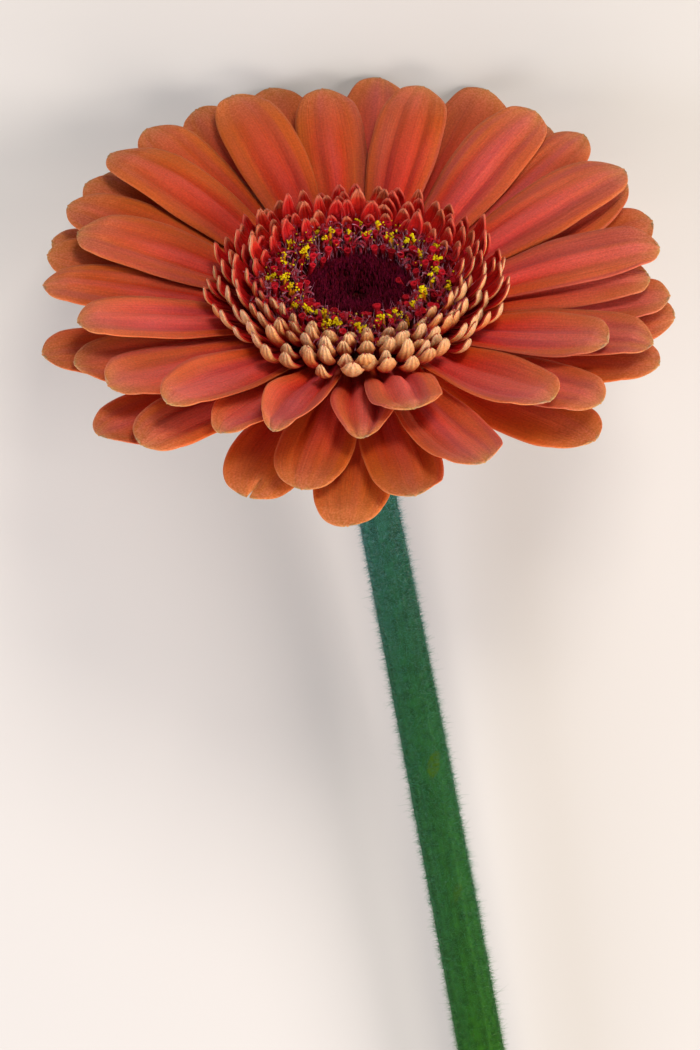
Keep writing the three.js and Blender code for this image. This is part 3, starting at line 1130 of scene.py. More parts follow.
@dataclass
class Crown:
    """One ring of short spoon-shaped florets in place of a CAD crown."""

    node: str
    rows: list[FloretRow]
    columns: int = 6
    steps: int = 14
    wrap: float = math.radians(50)  # how far each edge curls round
    thickness: float = 0.34
    drawn_in_back: float = 0.09  # how much nearer the lips stand behind the eye, as a share
    drawn_in_front: float = 0.05
    proud_below: float = 0.1  # florets behind the eye whose draw is below this stand taller
    proud: float = 2.2  # by this, in millimetres
    loose_above: float = 0.88  # florets of a loose row whose draw is above this lean out
    leaning: float = 1.6  # by this, in millimetres

    def _floret(
        self, side: Array, t: Array, azimuth: float, row: FloretRow, rng: np.random.Generator
    ) -> Array:
        """Places the grid of one floret, from its foot on the disc to its lip.

        Args:
            side: -1 to 1 across the floret.
            t: 0 at its foot to 1 at its lip.
            azimuth: where it stands round the head.
            row: its row's sizes.
            rng: the source of variation.

        Returns:
            The vertices in head millimetres.
        """
        back = math.sin(azimuth)
        foot_r, foot_z = self.foot[0] + row.foot_shift, self.foot[1]
        drawn_in = 1 - self.drawn_in_back * max(back, 0) - self.drawn_in_front * max(-back, 0)
        rim_r = row.reach * drawn_in + rng.normal(0, 0.45)
        rim_z = row.height + rng.normal(0, 0.5)
        stray = rng.uniform()
        if back > 0.2 and stray < self.proud_below:
            rim_z += self.proud
        if row.loose and stray > self.loose_above:
            rim_r += self.leaning
        width = row.width * rng.uniform(0.85, 1.15)
        bend_r = rim_r + rng.uniform(-0.7, 0.3)
        bend_z = row.sag + 0.5 * max(back, 0)
        curl = rng.uniform(0.0, 0.8)
        path_r = (1 - t) ** 2 * foot_r + 2 * t * (1 - t) * bend_r + t**2 * rim_r
        path_r -= curl * smooth(t, 0.75, 1) * 0.9
        path_z = (1 - t) ** 2 * foot_z + 2 * t * (1 - t) * bend_z + t**2 * rim_z
        dr = 2 * (1 - t) * (bend_r - foot_r) + 2 * t * (rim_r - bend_r)
        dz = 2 * (1 - t) * (bend_z - foot_z) + 2 * t * (rim_z - bend_z)
        length = np.hypot(dr, dz)
        inward_r, inward_z = -dz / length, dr / length
        blade = 0.42 + 0.58 * smooth(t, 0.25, 0.72)
        lip = (1 - np.clip((t - 0.62) / 0.38, 0, 1) ** 2.3) ** 0.6
        half = width / 2 * blade * (0.14 + 0.86 * lip)
        wrap = self.wrap * (1.35 - 0.55 * smooth(t, 0.4, 0.95)) * rng.uniform(0.85, 1.2)
        arc = half / max(math.sin(self.wrap), 0.1)
        across = -arc * np.sin(side * wrap)
        depth = arc * (1 - np.cos(side * wrap))
        notch = 0.5 * smooth(t, 0.86, 1) * bell(side, 0.0, 0.22) * rng.uniform(0, 1)
        radius = path_r + inward_r * depth - notch * dr / length
        height = path_z + inward_z * depth - notch * dz / length
        lean = rng.normal(0, 0.35) * t
        turn = rng.normal(0, 0.12)
        across = across * math.cos(turn) + lean
        radius = radius + across * math.sin(turn)
        return swung(radius, across, height, azimuth)

    def build(
        self, materials: list[bpy.types.Material], rng: np.random.Generator
    ) -> bpy.types.Object:
        """Makes the ring.

        Args:
            materials: the skins of the inner and the outer face.
            rng: the source of variation.

        Returns:
            The finished piece.
        """
        points = HEAD.node(self.node)
        radius = np.hypot(points[:, 0], points[:, 1])
        low = points[:, 2] < points[:, 2].min() + 0.6
        self.foot = (float(radius[low].mean()), float(points[:, 2].min()) - 0.2)
        pattern, side, t = flat_grid("floret", self.columns, self.steps)
        places, tones = [], []
        for row in self.rows:
            start = rng.uniform(0, math.tau)
            for k in range(row.count):
                azimuth = start + math.tau * k / row.count + rng.normal(0, 0.016)
                places.append(HEAD.to_row(self._floret(side, t, azimuth, row, rng)))
                tones.append(rng.uniform(0, 1))
        ring = joined_copies(self.node.replace("crown", "florets"), pattern, places, tones)
        thicken(ring, self.thickness, materials)
        return finished(ring, "floret", self.node)


@dataclass
class Florets:
    """The three crowns of florets round the anthers."""

    # the deep red that lines the bowl of florets
    inner_face: FloretSkin = FloretSkin(
        "ray floret, inner face",
        stops=(
            (0.0, 0x6E0206), (0.5, 0xB0060A), (0.8, 0xC8140A), (0.95, 0xC82C14), (1.0, 0xC85C38),
        ),
        groove_shade=0x8E0408, groove_shade_share=0.3, lip=0xC8846A, lip_share=0.3,
    )
    # cream and peach, with painted shade in the furrows, which makes the front florets look plump
    outer_face: FloretSkin = FloretSkin(
        "ray floret, outer face",
        stops=(
            (0.0, 0xA80400), (0.45, 0xD01404), (0.57, 0xDA4A1C),
            (0.68, 0xE8944E), (0.82, 0xF2B878), (1.0, 0xF0C490),
        ),
        groove_shade=0xDC8050, groove_shade_share=0.4, lip=0xE8BC98, lip_share=0.3,
    )

    def build(self) -> None:
        """Makes the crowns, outermost first."""
        rng = np.random.default_rng(SEED + 1)
        materials = [self.inner_face.material(), self.outer_face.material()]
        for node, rows in CROWNS.items():
            Crown(node, rows).build(materials, rng)


# ---- Anthers ----


def taken_apart(pattern: bpy.types.Object) -> Solid:
    """Removes a small solid, and keeps what it was made of.

    Args:
        pattern: the solid.

    Returns:
        Its vertices, and the vertex numbers of each face.
    """
    solid = vertices_of(pattern), [list(p.vertices) for p in pattern.data.polygons]
    bpy.data.objects.remove(pattern)
    return solid


def crowd(name: str, places: Array, faces: list[list[int]], tones: Array) -> bpy.types.Object:
    """Makes one object of many copies of a small closed solid.

    Args:
        name: name of the object.
        places: for each copy its vertices, in row metres.
        faces: of one copy.
        tones: a number from 0 to 1 for each copy.

    Returns:
        The new object.
    """
    count = places.shape[1]
    mesh = bpy.data.meshes.new(name)
    every = [[i * count + k for k in face] for i in range(len(places)) for face in faces]
    mesh.from_pydata(places.reshape(-1, 3).tolist(), [], every)
    whole = bpy.data.objects.new(name, mesh)
    bpy.context.scene.collection.objects.link(whole)
    tone(whole, np.repeat(tones, count))
    return whole


def spikes(
    name: str, feet: Array, tips: Array, half_width: float, tones: Array
) -> bpy.types.Object:
    """Makes a cloud of fine hairs, each a slim closed pyramid of four triangles.

    Args:
        name: name of the object.
        feet: the foot of each hair, in row metres.
        tips: the tip of each hair.
        half_width: of a hair at its foot, in metres.
        tones: a number from 0 to 1 for each hair.

    Returns:
        The new object.
    """
    deselect()
    bpy.ops.mesh.primitive_cone_add(vertices=3, radius1=1, radius2=0, depth=1)
    local, faces = taken_apart(bpy.context.object)
    along = tips - feet
    length = np.linalg.norm(along, axis=1, keepdims=True)
    along = along / length
    guide = np.where(np.abs(along[:, 2:3]) < 0.9, [[0.0, 0.0, 1.0]], [[1.0, 0.0, 0.0]])
    u = np.cross(along, guide)
    u /= np.linalg.norm(u, axis=1, keepdims=True)
    w = np.cross(along, u)
    share = (local[:, 2] + 0.5)[None, :, None]
    girth = u[:, None, :] * local[None, :, 0:1] + w[:, None, :] * local[None, :, 1:2]
    reach = along[:, None, :] * length[:, None, :] * share
    return crowd(name, feet[:, None, :] + reach + half_width * girth, faces, tones)


def small_solids(
    name: str,
    pattern: bpy.types.Object,
    frames: list[tuple[Array, Array, Array]],
    tones: list[float],
) -> bpy.types.Object:
    """Repeats a small closed solid.

    Args:
        name: name of the object.
        pattern: the solid, made round the origin; it is removed.
        frames: for each copy its origin, its axes as columns, and its sizes along them, all in
            head millimetres.
        tones: a number from 0 to 1 for each copy.

    Returns:
        The joined object.
    """
    local, faces = taken_apart(pattern)
    places = [HEAD.to_row((local * size) @ axes.T + origin) for origin, axes, size in frames]
    return crowd(name, np.array(places), faces, np.array(tones))


def axes_along(direction: Array, spin: float = 0.0) -> Array:
    """Finds three unit axes, the third along a direction.

    Args:
        direction: where the third axis points.
        spin: turn about it, in radians.

    Returns:
        The axes as the columns of a 3 by 3 array.
    """
    third = direction / np.linalg.norm(direction)
    guide = UP if abs(third[2]) < 0.9 else np.array([1.0, 0.0, 0.0])
    first = np.cross(guide, third)
    first /= np.linalg.norm(first)
    second = np.cross(third, first)
    c, s = math.cos(spin), math.sin(spin)
    return np.stack([first * c + second * s, second * c - first * s, third], 1)


def unit_ball() -> bpy.types.Object:
    """Adds a ball of twenty faces.

    Returns:
        The new object.
    """
    deselect()
    bpy.ops.mesh.primitive_ico_sphere_add(subdivisions=1, radius=1)
    return bpy.context.object


def unit_tube(sides: int, stations: list[tuple[float, float]]) -> bpy.types.Object:
    """A closed turned solid along +Z.

    Args:
        sides: faces round it.
        stations: radius and height of each ring, from the foot to the top.

    Returns:
        The new object.
    """
    deselect()
    bpy.ops.mesh.primitive_cylinder_add(vertices=sides, radius=1, depth=1, end_fill_type="NGON")
    tube = bpy.context.object
    rings = len(stations)
    verts, faces = [], []
    for radius, height in stations:
        for k in range(sides):
            angle = math.tau * k / sides
            verts.append((radius * math.cos(angle), radius * math.sin(angle), height))
    for i in range(rings - 1):
        for k in range(sides):
            a, b = i * sides + k, i * sides + (k + 1) % sides
            faces.append((a, b, b + sides, a + sides))
    faces.append(tuple(reversed(range(sides))))
    faces.append(tuple((rings - 1) * sides + k for k in range(sides)))
    tube.data.clear_geometry()
    tube.data.from_pydata(verts, [], faces)
    return tube


@dataclass
class DiscFlorets:
    """The open disc florets: red tubes with curled lips, anther columns and clots of pollen."""

    tubes: int = 190
    lips: int = 420
    columns: int = 44
    bristles: int = 1600
    stray_grains: int = 160
    anther_ring: tuple[float, float] = (11.2, 14.4)  # inner and outer radius of the columns
    inner: float = 8.9
    outer: float = 16.8

    def build(self) -> None:
        """Makes the tubes, lips, anther columns, pollen and bristles."""
        rng = np.random.default_rng(SEED + 2)
        self._tubes(rng)
        self._lips(rng)
        self._pollen(rng, self._anther_columns(rng))
        self._bristles(rng)

    def _place(self, radius: float, azimuth: float, height: float) -> Array:
        """A point in head millimetres from polar values."""
        return np.array([radius * math.cos(azimuth), radius * math.sin(azimuth), height])

    def _top(self, radius: float) -> float:
        """Height of the open florets: a low bank round the eye, highest under the pollen."""
        return 2.5 + float(smooth(radius, 8.5, 12.5)) - 0.6 * float(smooth(radius, 14.0, 17.0))

    def _tubes(self, rng: np.random.Generator) -> None:
        """Makes the tubes with flared lips, in place of the CAD anther ring.

        Args:
            rng: the source of variation.
        """
        frames, tones = [], []
        for k in range(self.tubes):
            share = (k + 0.5) / self.tubes
            radius = math.sqrt(self.inner**2 + (self.outer**2 - self.inner**2) * share)
            azimuth = k * GOLDEN_ANGLE + rng.normal(0, 0.06)
            outward = (radius - self.inner) / (self.outer - self.inner)
            lean = -0.2 + 0.6 * outward + rng.normal(0, 0.12)
            heading = self._place(math.sin(lean), azimuth, math.cos(lean))
            axes = axes_along(heading, rng.uniform(0, 6))
            height = self._top(radius) + 1.9 + rng.normal(0, 0.35)
            girth = rng.uniform(0.38, 0.6, 2)
            frames.append((self._place(radius, azimuth, -1.9), axes, np.array([*girth, height])))
            tones.append(rng.uniform(0, 1))
        rings = [
            (0.7, 0.0), (0.75, 0.55), (0.85, 0.78), (1.15, 0.93),
            (1.25, 1.0), (0.8, 0.97), (0.4, 0.75),
        ]
        piece = small_solids("disc_floret_tubes", unit_tube(7, rings), frames, tones)
        # dull blood red, lighter at random, so that the tubes read one by one
        skin = GrainedTissue("disc floret corolla", 0x70040E, 0xC41C2A, 0.5, DULL)
        dress(piece, [skin.material()])
        finished(piece, "floret", "anther_ring")

    def _lips(self, rng: np.random.Generator) -> None:
        """Makes the small curled lips between the tubes, crimson ribbons whose lilac edges are a
        painted highlight.

        Args:
            rng: the source of variation.
        """
        pattern, side, v = flat_grid("lip", 2, 8)
        places, tones = [], []
        for _ in range(self.lips):
            radius = rng.uniform(self.inner, self.outer + 0.8)
            azimuth = rng.uniform(0, math.tau)
            foot = self._place(radius, azimuth, self._top(radius) - rng.uniform(0.7, 1.5))
            heading = self._place(rng.normal(0.2, 0.35), azimuth, 1.0)
            axes = axes_along(heading, rng.uniform(0, math.tau))
            length, width = rng.uniform(1.3, 2.8), rng.uniform(0.2, 0.4)
            turn = rng.uniform(1.2, 3.8)
            angle = v * turn
            forward = length * (1 - np.cos(angle)) / turn
            up = length * np.sin(angle) / turn
            local = np.stack([side * width * (1 - 0.6 * v), forward, up], 1)
            places.append(HEAD.to_row(local @ axes.T + foot))
            tones.append(rng.uniform(0, 1))
        lips = joined_copies("disc_floret_lips", pattern, places, tones)
        # crimson ribbons with lilac edges, a painted highlight where they catch light in the dark
        # ring, and painted shade in their furrows
        skin = FloretSkin(
            "curled corolla lip", stops=((0.0, 0x8A0614), (0.5, 0xB01430), (1.0, 0xC04C66)),
            groove_shade=0x7A0418, groove_shade_share=0.3, lip=0xC89CB4, lip_share=0.8,
        )
        thicken(lips, 0.14, [skin.material()])
        finished(lips, "floret")

    def _anther_columns(self, rng: np.random.Generator) -> list[Array]:
        """Makes the orange anther columns among the tubes.

        Args:
            rng: the source of variation.

        Returns:
            The head of each column, in head millimetres.
        """
        frames, tones, heads = [], [], []
        for k in range(self.columns):
            azimuth = math.tau * k / self.columns + rng.normal(0, 0.07)
            radius = rng.uniform(*self.anther_ring)
            axes = axes_along(self._place(rng.normal(0.0, 0.25), azimuth, 1.0), rng.uniform(0, 6))
            height = rng.uniform(1.8, 3.2)
            foot = self._place(radius, azimuth, rng.uniform(0.8, 1.5))
            frames.append((foot, axes, np.array([0.34, 0.34, height])))
            heads.append(foot + axes[:, 2] * height)
            tones.append(rng.uniform(0, 1))
        column = unit_tube(5, [(0.9, 0.0), (1.0, 0.4), (0.8, 0.85), (0.3, 1.0)])
        piece = small_solids("anther_columns", column, frames, tones)
        # rust to amber, a warm step between the red tubes and the pollen
        dress(piece, [GrainedTissue("anther column", 0x8E1A04, 0xD89010, 0.5, DULL).material()])
        finished(piece, "pollen")
        return heads

    def _pollen(self, rng: np.random.Generator, heads: list[Array]) -> None:
        """Makes ragged clots of yellow pollen on the columns, and stray grains.

        Args:
            rng: the source of variation.
            heads: the head of each anther column.
        """
        frames, tones = [], []
        for head in heads:
            spread = rng.normal(0, 0.38, (int(rng.integers(2, 5)), 3))
            lumps = head + spread * np.array([1, 1, 0.8])
            own = rng.uniform(0, 1)
            for lump in lumps:
                for _ in range(int(rng.integers(5, 12))):
                    size = rng.uniform(0.1, 0.24)
                    origin = lump + rng.normal(0, 0.2, 3)
                    axes = axes_along(rng.normal(0, 1, 3))
                    frames.append((origin, axes, size * rng.uniform(0.7, 1.3, 3)))
                    tones.append(0.6 * own + 0.4 * rng.uniform(0, 1))
        for _ in range(self.stray_grains):
            azimuth, radius = rng.uniform(0, math.tau), rng.uniform(9.5, 17.5)
            origin = self._place(radius, azimuth, self._top(radius) + rng.uniform(-0.6, 0.4))
            frames.append((origin, np.eye(3), np.full(3, rng.uniform(0.08, 0.17))))
            tones.append(rng.uniform(0, 1))
        piece = small_solids("pollen", unit_ball(), frames, tones)
        powder = Surface(roughness=0.9, specular=0.1, sheen=0.0)
        # bright matt yellow crumbs, the strongest contrast in the head
        dress(piece, [GrainedTissue("pollen", 0xB08800, 0xF2D60C, 0.4, powder).material()])
        finished(piece, "pollen")

    def _bristles(self, rng: np.random.Generator) -> None:
        """Makes the lilac-grey bristles that stand between the florets.

        Args:
            rng: the source of variation.
        """
        azimuth = rng.uniform(0, math.tau, self.bristles)
        radius = rng.uniform(8.8, 18.0, self.bristles)
        top = np.array([self._top(r) for r in radius])
        feet = np.stack([radius * np.cos(azimuth), radius * np.sin(azimuth), top - 2.2], 1)
        out = np.stack([np.cos(azimuth), np.sin(azimuth), np.zeros_like(azimuth)], 1)
        lean = rng.normal(0.1, 0.25, (self.bristles, 1))
        rise = rng.uniform(1.4, 2.9, (self.bristles, 1))
        tips = feet + (out * lean + UP + rng.normal(0, 0.2, (self.bristles, 3))) * rise
        tones = rng.uniform(0, 1, self.bristles)
        cloud = spikes("bristles", HEAD.to_row(feet), HEAD.to_row(tips), 0.08 * MM, tones)
        # lilac-grey specks that soften the red between the florets
        dress(cloud, [GrainedTissue("pappus bristle", 0xA8284A, 0xC898A8, 0.6, DULL).material()])
        finished(cloud, "floret")


# ---- Eye ----


@dataclass
class Eye:
    """The dark eye: packed unopened florets, lowest in the middle, with fine hairs among them."""

    radius: float = 9.0
    buds: int = 360
    hairs: int = 2600

    def _height(self, radius: Array | float) -> Array | float:
        """Height of the bud tips at a distance from the axis."""
        return -0.9 + 1.9 * smooth(radius, 1.0, 6.2) - 0.9 * smooth(radius, 7.0, 10.2)

    def build(self) -> None:
        """Makes the buds and the hairs."""
        rng = np.random.default_rng(SEED + 3)
        frames, tones = [], []
        for k in range(self.buds):
            radius = self.radius * math.sqrt((k + 0.5) / self.buds)
            azimuth = k * GOLDEN_ANGLE
            top = self._height(radius) + rng.normal(0, 0.22)
            lean = -0.28 * smooth(radius, 1.5, 9.0) + rng.normal(0, 0.07)
            outward = np.array([math.cos(azimuth), math.sin(azimuth), 0.0])
            direction = outward * math.sin(lean) + UP * math.cos(lean)
            tip = outward * radius + UP * top
            length = top + 2.4
            girth = 0.36 + 0.012 * radius
            sizes = np.array([girth, girth, length])
            frames.append((tip - direction * length, axes_along(direction), sizes))
            # painted shade: the low middle of the eye is given the darkest tone
            tones.append(np.clip(radius / self.radius * 0.8 - 0.1 + rng.normal(0, 0.15), 0, 1))
        bud = unit_tube(6, [(0.5, 0.0), (0.85, 0.45), (1.0, 0.72), (0.72, 0.92), (0.2, 1.0)])
        piece = small_solids("eye_buds", bud, frames, tones)
        # near-black maroon, a little redder outwards; the darker middle, where the eye sinks
        # lowest, is also painted shade that makes the eye look deep
        skin = GrainedTissue("unopened disc floret", 0x200006, 0x640414, 0.5, DULL)
        dress(piece, [skin.material()])
        finished(piece, "eye", "eye")
        self._hairs(rng)

    def _hairs(self, rng: np.random.Generator) -> None:
        """Makes the purple hairs that give the eye its streaked look.

        Args:
            rng: the source of variation.
        """
        azimuth = rng.uniform(0, math.tau, self.hairs)
        radius = self.radius * np.sqrt(rng.uniform(0.02, 1, self.hairs))
        height = self._height(radius) - 0.7
        feet = np.stack([radius * np.cos(azimuth), radius * np.sin(azimuth), height], 1)
        lean = rng.normal(0, 0.18, (self.hairs, 3))
        tips = feet + (UP + lean) * rng.uniform(1.0, 2.2, (self.hairs, 1))
        tones = rng.uniform(0, 1, self.hairs)
        cloud = spikes("eye_hairs", HEAD.to_row(feet), HEAD.to_row(tips), 0.07 * MM, tones)
        # purple streaks over the dark buds
        dress(cloud, [GrainedTissue("eye hair", 0x3A0012, 0x7C1034, 0.6, DULL).material()])
        finished(cloud, "eye")


# ---- Bracts and disc ----


@dataclass
class Bracts:
    """A layer of narrow green bracts that hug the back of the head, in place of a CAD layer."""

    node: str
    count: int
    width: float
    foot: float  # distance from the axis at which each bract leaves the stem
    keel: float = 0.18  # height of the ridge down the middle
    thickness: float = 0.5
    columns: int = 6
    steps: int = 16

    def build(
        self, materials: list[bpy.types.Material], rng: np.random.Generator
    ) -> bpy.types.Object:
        """Makes the layer.

        Args:
            materials: the bracts' skin.
            rng: the source of variation.

        Returns:
            The finished piece.
        """
        points = HEAD.node(self.node)
        radius = np.hypot(points[:, 0], points[:, 1])
        order = np.argsort(points[:, 2])
        heights, radii = points[order, 2], radius[order]
        stations = np.linspace(heights[0], heights[-1], 7)
        profile = [float(radii[np.abs(heights - z) < 2.0].max()) for z in stations]
        curve = np.polyfit(stations, profile, 3)
        pattern, side, v = flat_grid("bract", self.columns, self.steps)
        places, tones = [], []
        for k in range(self.count):
            azimuth = math.tau * k / self.count + rng.normal(0, 0.03)
            height = heights[0] + (heights[-1] - heights[0]) * v * rng.uniform(0.94, 1.0)
            reach = np.polyval(curve, height)
            reach = reach - (reach - self.foot) * (1 - smooth(v, 0, 0.22))
            swell = 0.75 + 0.25 * smooth(v, 0, 0.3)
            half = self.width / 2 * swell * (1 - np.clip(v, 0, 1) ** 3.2) ** 0.8
            across = side * (half + 0.05)
            sag = across**2 / (2 * np.maximum(reach, 3))
            out = reach - sag - 0.1 * np.abs(side) + self.keel * bell(side, 0.0, 0.2)
            places.append(HEAD.to_row(swung(out, across, height, azimuth)))
            tones.append(rng.uniform(0, 1))
        layer = joined_copies(self.node.replace("bracts", "bract_layer"), pattern, places, tones)
        thicken(layer, self.thickness, materials)
        return finished(layer, "bract", self.node)


@dataclass
class BackOfHead:
    """The bracts and the disc behind the rays."""

    def build(self) -> None:
        """Makes both layers of bracts and dresses the disc."""
        rng = np.random.default_rng(SEED + 4)
        surface = Surface(roughness=0.65, sheen=0.35, sheen_tint=0xD8E8D0, glow=0.08, bump_mm=0.1)
        # dull grey-green with a pale bloom of down at grazing angles
        skin = GrainedTissue("downy bract", 0x35521E, 0x5F7F3A, 1.2, surface).material()
        Bracts("bracts_inner", 26, 3.6, 3.4).build([skin], rng)
        Bracts("bracts_outer", 22, 3.2, 3.3).build([skin], rng)
        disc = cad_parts["disc"]
        # dark red in the gaps between florets, green where the rays part behind
        dress(disc, [DiscFlesh("disc flesh", surface).material()])


# ---- Stem ----


@dataclass
class Stem:
    """The stem, measured from its CAD solid, with its ribs, its cut end and its down."""

    sides: int = 40
    stations: int = 150
    ribs: int = 9
    rib_height: float = 0.09  # half of it, in millimetres
    hairs: int = 120000
    hair_half_width: float = 0.026  # millimetres
    down: tuple[tuple[str, float, float], ...] = (  # pieces, and where each starts and ends
        ("stem_down_foot", 0.004, 0.34),
        ("stem_down_middle", 0.34, 0.67),
        ("stem_down_neck", 0.67, 0.992),
    )

    def __post_init__(self) -> None:
        """Reads the middle line and the radius of the CAD stem, from the cut end to the neck."""
        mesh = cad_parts["stem"].data
        points = vertices_of(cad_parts["stem"]) / MM
        edges = np.array([list(e.vertices) for e in mesh.edges])
        low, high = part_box("stem")
        cut, neck = low.y / MM, high.y / MM - 6.0
        ring = np.unique(points[points[:, 1] < cut + 2.0].round(3), axis=0)
        line = [ring.mean(0)]
        radii = [float(np.linalg.norm(ring - line[0], axis=1).max())]
        straight, curved = np.linspace(cut + 4.0, neck - 30, 40), np.linspace(neck - 27, neck, 12)
        levels = np.concatenate([straight, curved])
        for level in levels:
            a, b = points[edges[:, 0]], points[edges[:, 1]]
            across = (a[:, 1] - level) * (b[:, 1] - level) < 0
            t = ((level - a[across, 1]) / (b[across, 1] - a[across, 1]))[:, None]
            section = a[across] + (b[across] - a[across]) * t
            line.append((section.min(0) + section.max(0)) / 2)
            radii.append((section[:, 0].max() - section[:, 0].min()) / 2)
        seat = HEAD.node("disc")[:, 2].min()
        line.append(HEAD.to_row(UP[None] * (seat - 0.3))[0] / MM)
        radii.append(radii[-1] * 0.97)
        line = np.array(line)
        gaps = np.linalg.norm(np.diff(line, axis=0), axis=1)
        run = np.concatenate([[0], np.cumsum(gaps)])
        even = np.linspace(0, run[-1], self.stations + 1)
        self.length = run[-1]
        self.line = np.stack([np.interp(even, run, line[:, k]) for k in range(3)], 1)
        for _ in range(3):
            self.line[1:-1] = (self.line[:-2] + 2 * self.line[1:-1] + self.line[2:]) / 4
        self.radii = np.interp(even, run, radii)
        tangent = np.gradient(self.line, axis=0)
        self.tangent = tangent / np.linalg.norm(tangent, axis=1, keepdims=True)
        across = np.cross(self.tangent, [0, 0, 1.0])
        self.across = across / np.linalg.norm(across, axis=1, keepdims=True)
        self.above = np.cross(self.across, self.tangent)

    def surface_point(self, share: Array, angle: Array) -> tuple[Array, Array]:
        """Points and outward directions on the stem.

        Args:
            share: 0 at the cut end to 1 at the head.
            angle: round the stem.

        Returns:
            The points and the unit directions, in row millimetres.
        """
        at = np.clip(share, 0, 1) * self.stations
        pick = np.arange(self.stations + 1)
        centre, across, above = (
            np.stack([np.interp(at, pick, values[:, k]) for k in range(3)], 1)
            for values in (self.line, self.across, self.above)
        )
        radius = np.interp(at, pick, self.radii)
        radius = radius + self.rib_height * (np.cos(self.ribs * angle + 3 * share) - 1)
        out = across * np.cos(angle)[:, None] + above * np.sin(angle)[:, None]
        return centre + out * radius[:, None], out

    def build(self) -> None:
        """Makes the stem and its down."""
        centre = self.line[0]
        tube, side, share = flat_grid("stem_skin", self.sides, self.stations)
        points, _ = self.surface_point(share, side * -math.pi)
        move_vertices(tube, points * MM)
        bpy.ops.object.mode_set(mode="EDIT")
        bpy.ops.mesh.select_all(action="SELECT")
        bpy.ops.mesh.remove_doubles(threshold=1e-6)
        bpy.ops.mesh.select_all(action="DESELECT")
        bpy.ops.mesh.select_mode(type="EDGE")
        bpy.ops.mesh.select_non_manifold(extend=False)
        bpy.ops.mesh.edge_face_add()
        bpy.ops.mesh.select_all(action="SELECT")
        bpy.ops.mesh.normals_make_consistent(inside=False)
        bpy.ops.object.mode_set(mode="OBJECT")
        # matt green, bluer towards the head with painted cool light, and two olive rubbed patches
        skin = StemSkin("downy stem", scars=self._scars()).material()
        # a wet pale disc with a darker ring of vessels
        cut = CutFace("cut stem", tuple(centre * MM), float(self.radii[0])).material()
        dress(tube, [skin, cut])
        finished(tube, "stem", "stem")
        for polygon in tube.data.polygons:
            if len(polygon.vertices) > 8:
                polygon.use_smooth = False
                polygon.material_index = 1 if polygon.center.y < centre[1] * MM + 0.004 else 0
        self._down()

    def _scars(self) -> tuple[tuple[float, float, float, float], ...]:
        """Places the bare patches by their distance behind the head.

        Returns:
            For each patch x, y and half length in metres, and strength.
        """
        found = []
        for behind, half_length, strength in ((79.0, 2.4, 0.9), (100.5, 1.8, 0.45)):
            y = HEAD.origin()[1] - behind
            x = float(np.interp(y, self.line[:, 1], self.line[:, 0])) + 1.0
            found.append((x * MM, y * MM, half_length * MM, strength))
        return tuple(found)

    def _down(self) -> None:
        """The short pale hairs all over the stem, in three pieces along it."""
        rng = np.random.default_rng(SEED + 5)
        skin = DownSkin("stem down").material()  # a fine pale fringe along the outline
        count = self.hairs // len(self.down)
        for name, low, high in self.down:
            share = rng.uniform(low, high, count)
            angle = rng.uniform(0, math.tau, count)
            feet, out = self.surface_point(share, angle)
            lean = rng.normal(0, 0.6, (count, 3))
            length = rng.gamma(5, 0.085, (count, 1)) + 0.15
            tips = feet + (out + lean) * length
            tips[:, 2] = np.maximum(tips[:, 2], 0.05)
            feet = feet - out * 0.05
            cloud = spikes(name, feet * MM, tips * MM, self.hair_half_width * MM, share)
            dress(cloud, [skin])
            finished(cloud, "stem")


# ---- Studio ----


@dataclass(frozen=True)
class Lamp:
    """A square light that faces the head; its place from the head and its side are in metres."""

    name: str
    place: tuple[float, float, float]
    side: float
    watts: float
    colour: int


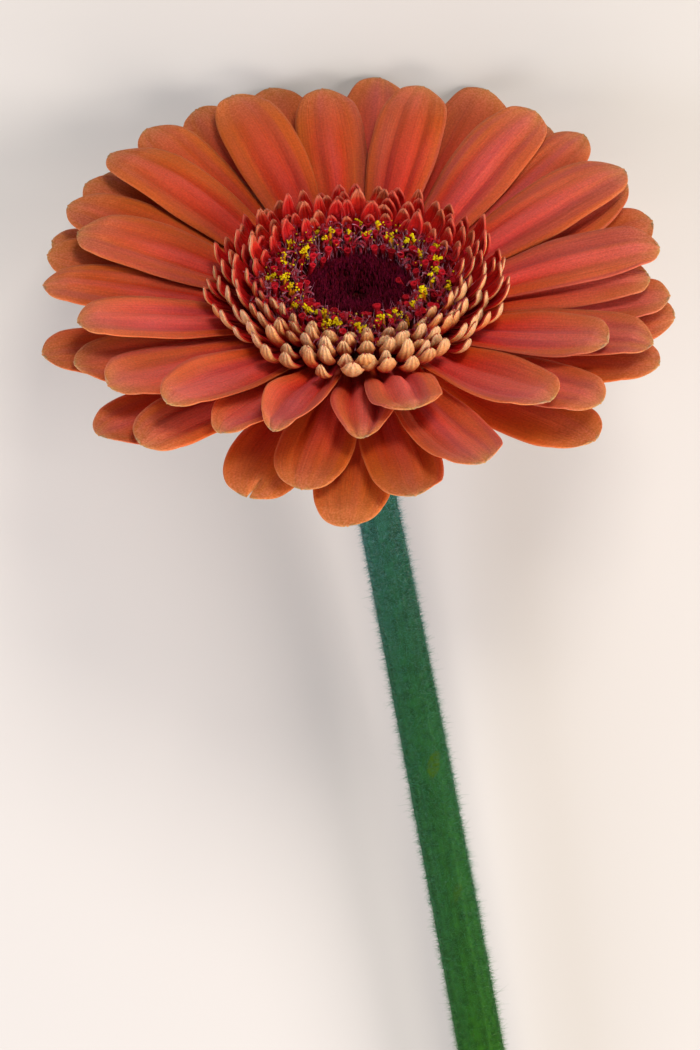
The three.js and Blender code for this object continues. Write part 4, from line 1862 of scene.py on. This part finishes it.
@dataclass
class Studio:
    """The pale table, the soft lights and the camera that looks straight down on the head."""

    camera_height: float = 1100.0  # above the head's origin, in millimetres
    aim: tuple[float, float] = (-1.4, -38.6)  # from the head's origin to the middle of the view
    lens: float = 228.5
    sensor: float = 36.0
    lamps: tuple[Lamp, ...] = (
        Lamp("key", (0.25, 0.7, 1.0), 0.4, 8.5, 0xFFF6EC),
        Lamp("fill_left", (-0.8, -0.35, 0.4), 0.5, 7.5, 0xE0E8FF),
        Lamp("fill_right", (0.8, -0.2, 0.55), 0.5, 10.0, 0xFFF4F0),
        Lamp("fill_front", (0.1, -0.8, 0.9), 0.6, 11.0, 0xFFF4EA),
    )

    def build(self) -> None:
        """Makes the table, the lights and the camera."""
        deselect()
        bpy.ops.mesh.primitive_plane_add(size=6.0, location=(0, 0, -0.0002))
        table = bpy.context.object
        table.name = "table"
        bpy.ops.object.transform_apply(location=True, rotation=False, scale=False)
        table.data.materials.append(TableTop().material())
        for lamp in self.lamps:
            self._light(lamp)
        world = bpy.context.scene.world or bpy.data.worlds.new("studio")
        bpy.context.scene.world = world
        world.use_nodes = True
        background = world.node_tree.nodes["Background"]
        background.inputs["Color"].default_value = linear(0xF4F4F6)
        background.inputs["Strength"].default_value = 0.2
        bpy.context.scene.view_settings.view_transform = "Standard"
        self._camera()

    def _light(self, lamp: Lamp) -> None:
        """Adds a square light that faces the head.

        Args:
            lamp: its sizes and colour.
        """
        data = bpy.data.lights.new(lamp.name, "AREA")
        data.size = lamp.side
        data.energy = lamp.watts
        data.color = linear(lamp.colour)[:3]
        light = bpy.data.objects.new(lamp.name, data)
        head = Vector(HEAD.origin() * MM)
        light.location = head + Vector(lamp.place)
        light.rotation_euler = (head - light.location).to_track_quat("-Z", "Y").to_euler()
        bpy.context.scene.collection.objects.link(light)

    def _camera(self) -> None:
        """Adds the camera above the head."""
        data = bpy.data.cameras.new("camera")
        data.sensor_fit = "VERTICAL"
        data.sensor_height = self.sensor
        data.lens = self.lens
        data.clip_end = 20.0
        camera = bpy.data.objects.new("camera", data)
        camera.location = Vector(HEAD.origin() + (*self.aim, self.camera_height)) * MM
        bpy.context.scene.collection.objects.link(camera)
        bpy.context.scene.camera = camera


def main() -> None:
    """Builds the scene in order."""
    logging.basicConfig(level=logging.INFO, format="%(name)s: %(message)s")
    for part in (Studio(), Rays(), Florets(), DiscFlorets(), Eye(), BackOfHead(), Stem()):
        log.info("building %s", type(part).__name__)
        part.build()


if __name__ == "__main__":
    main()
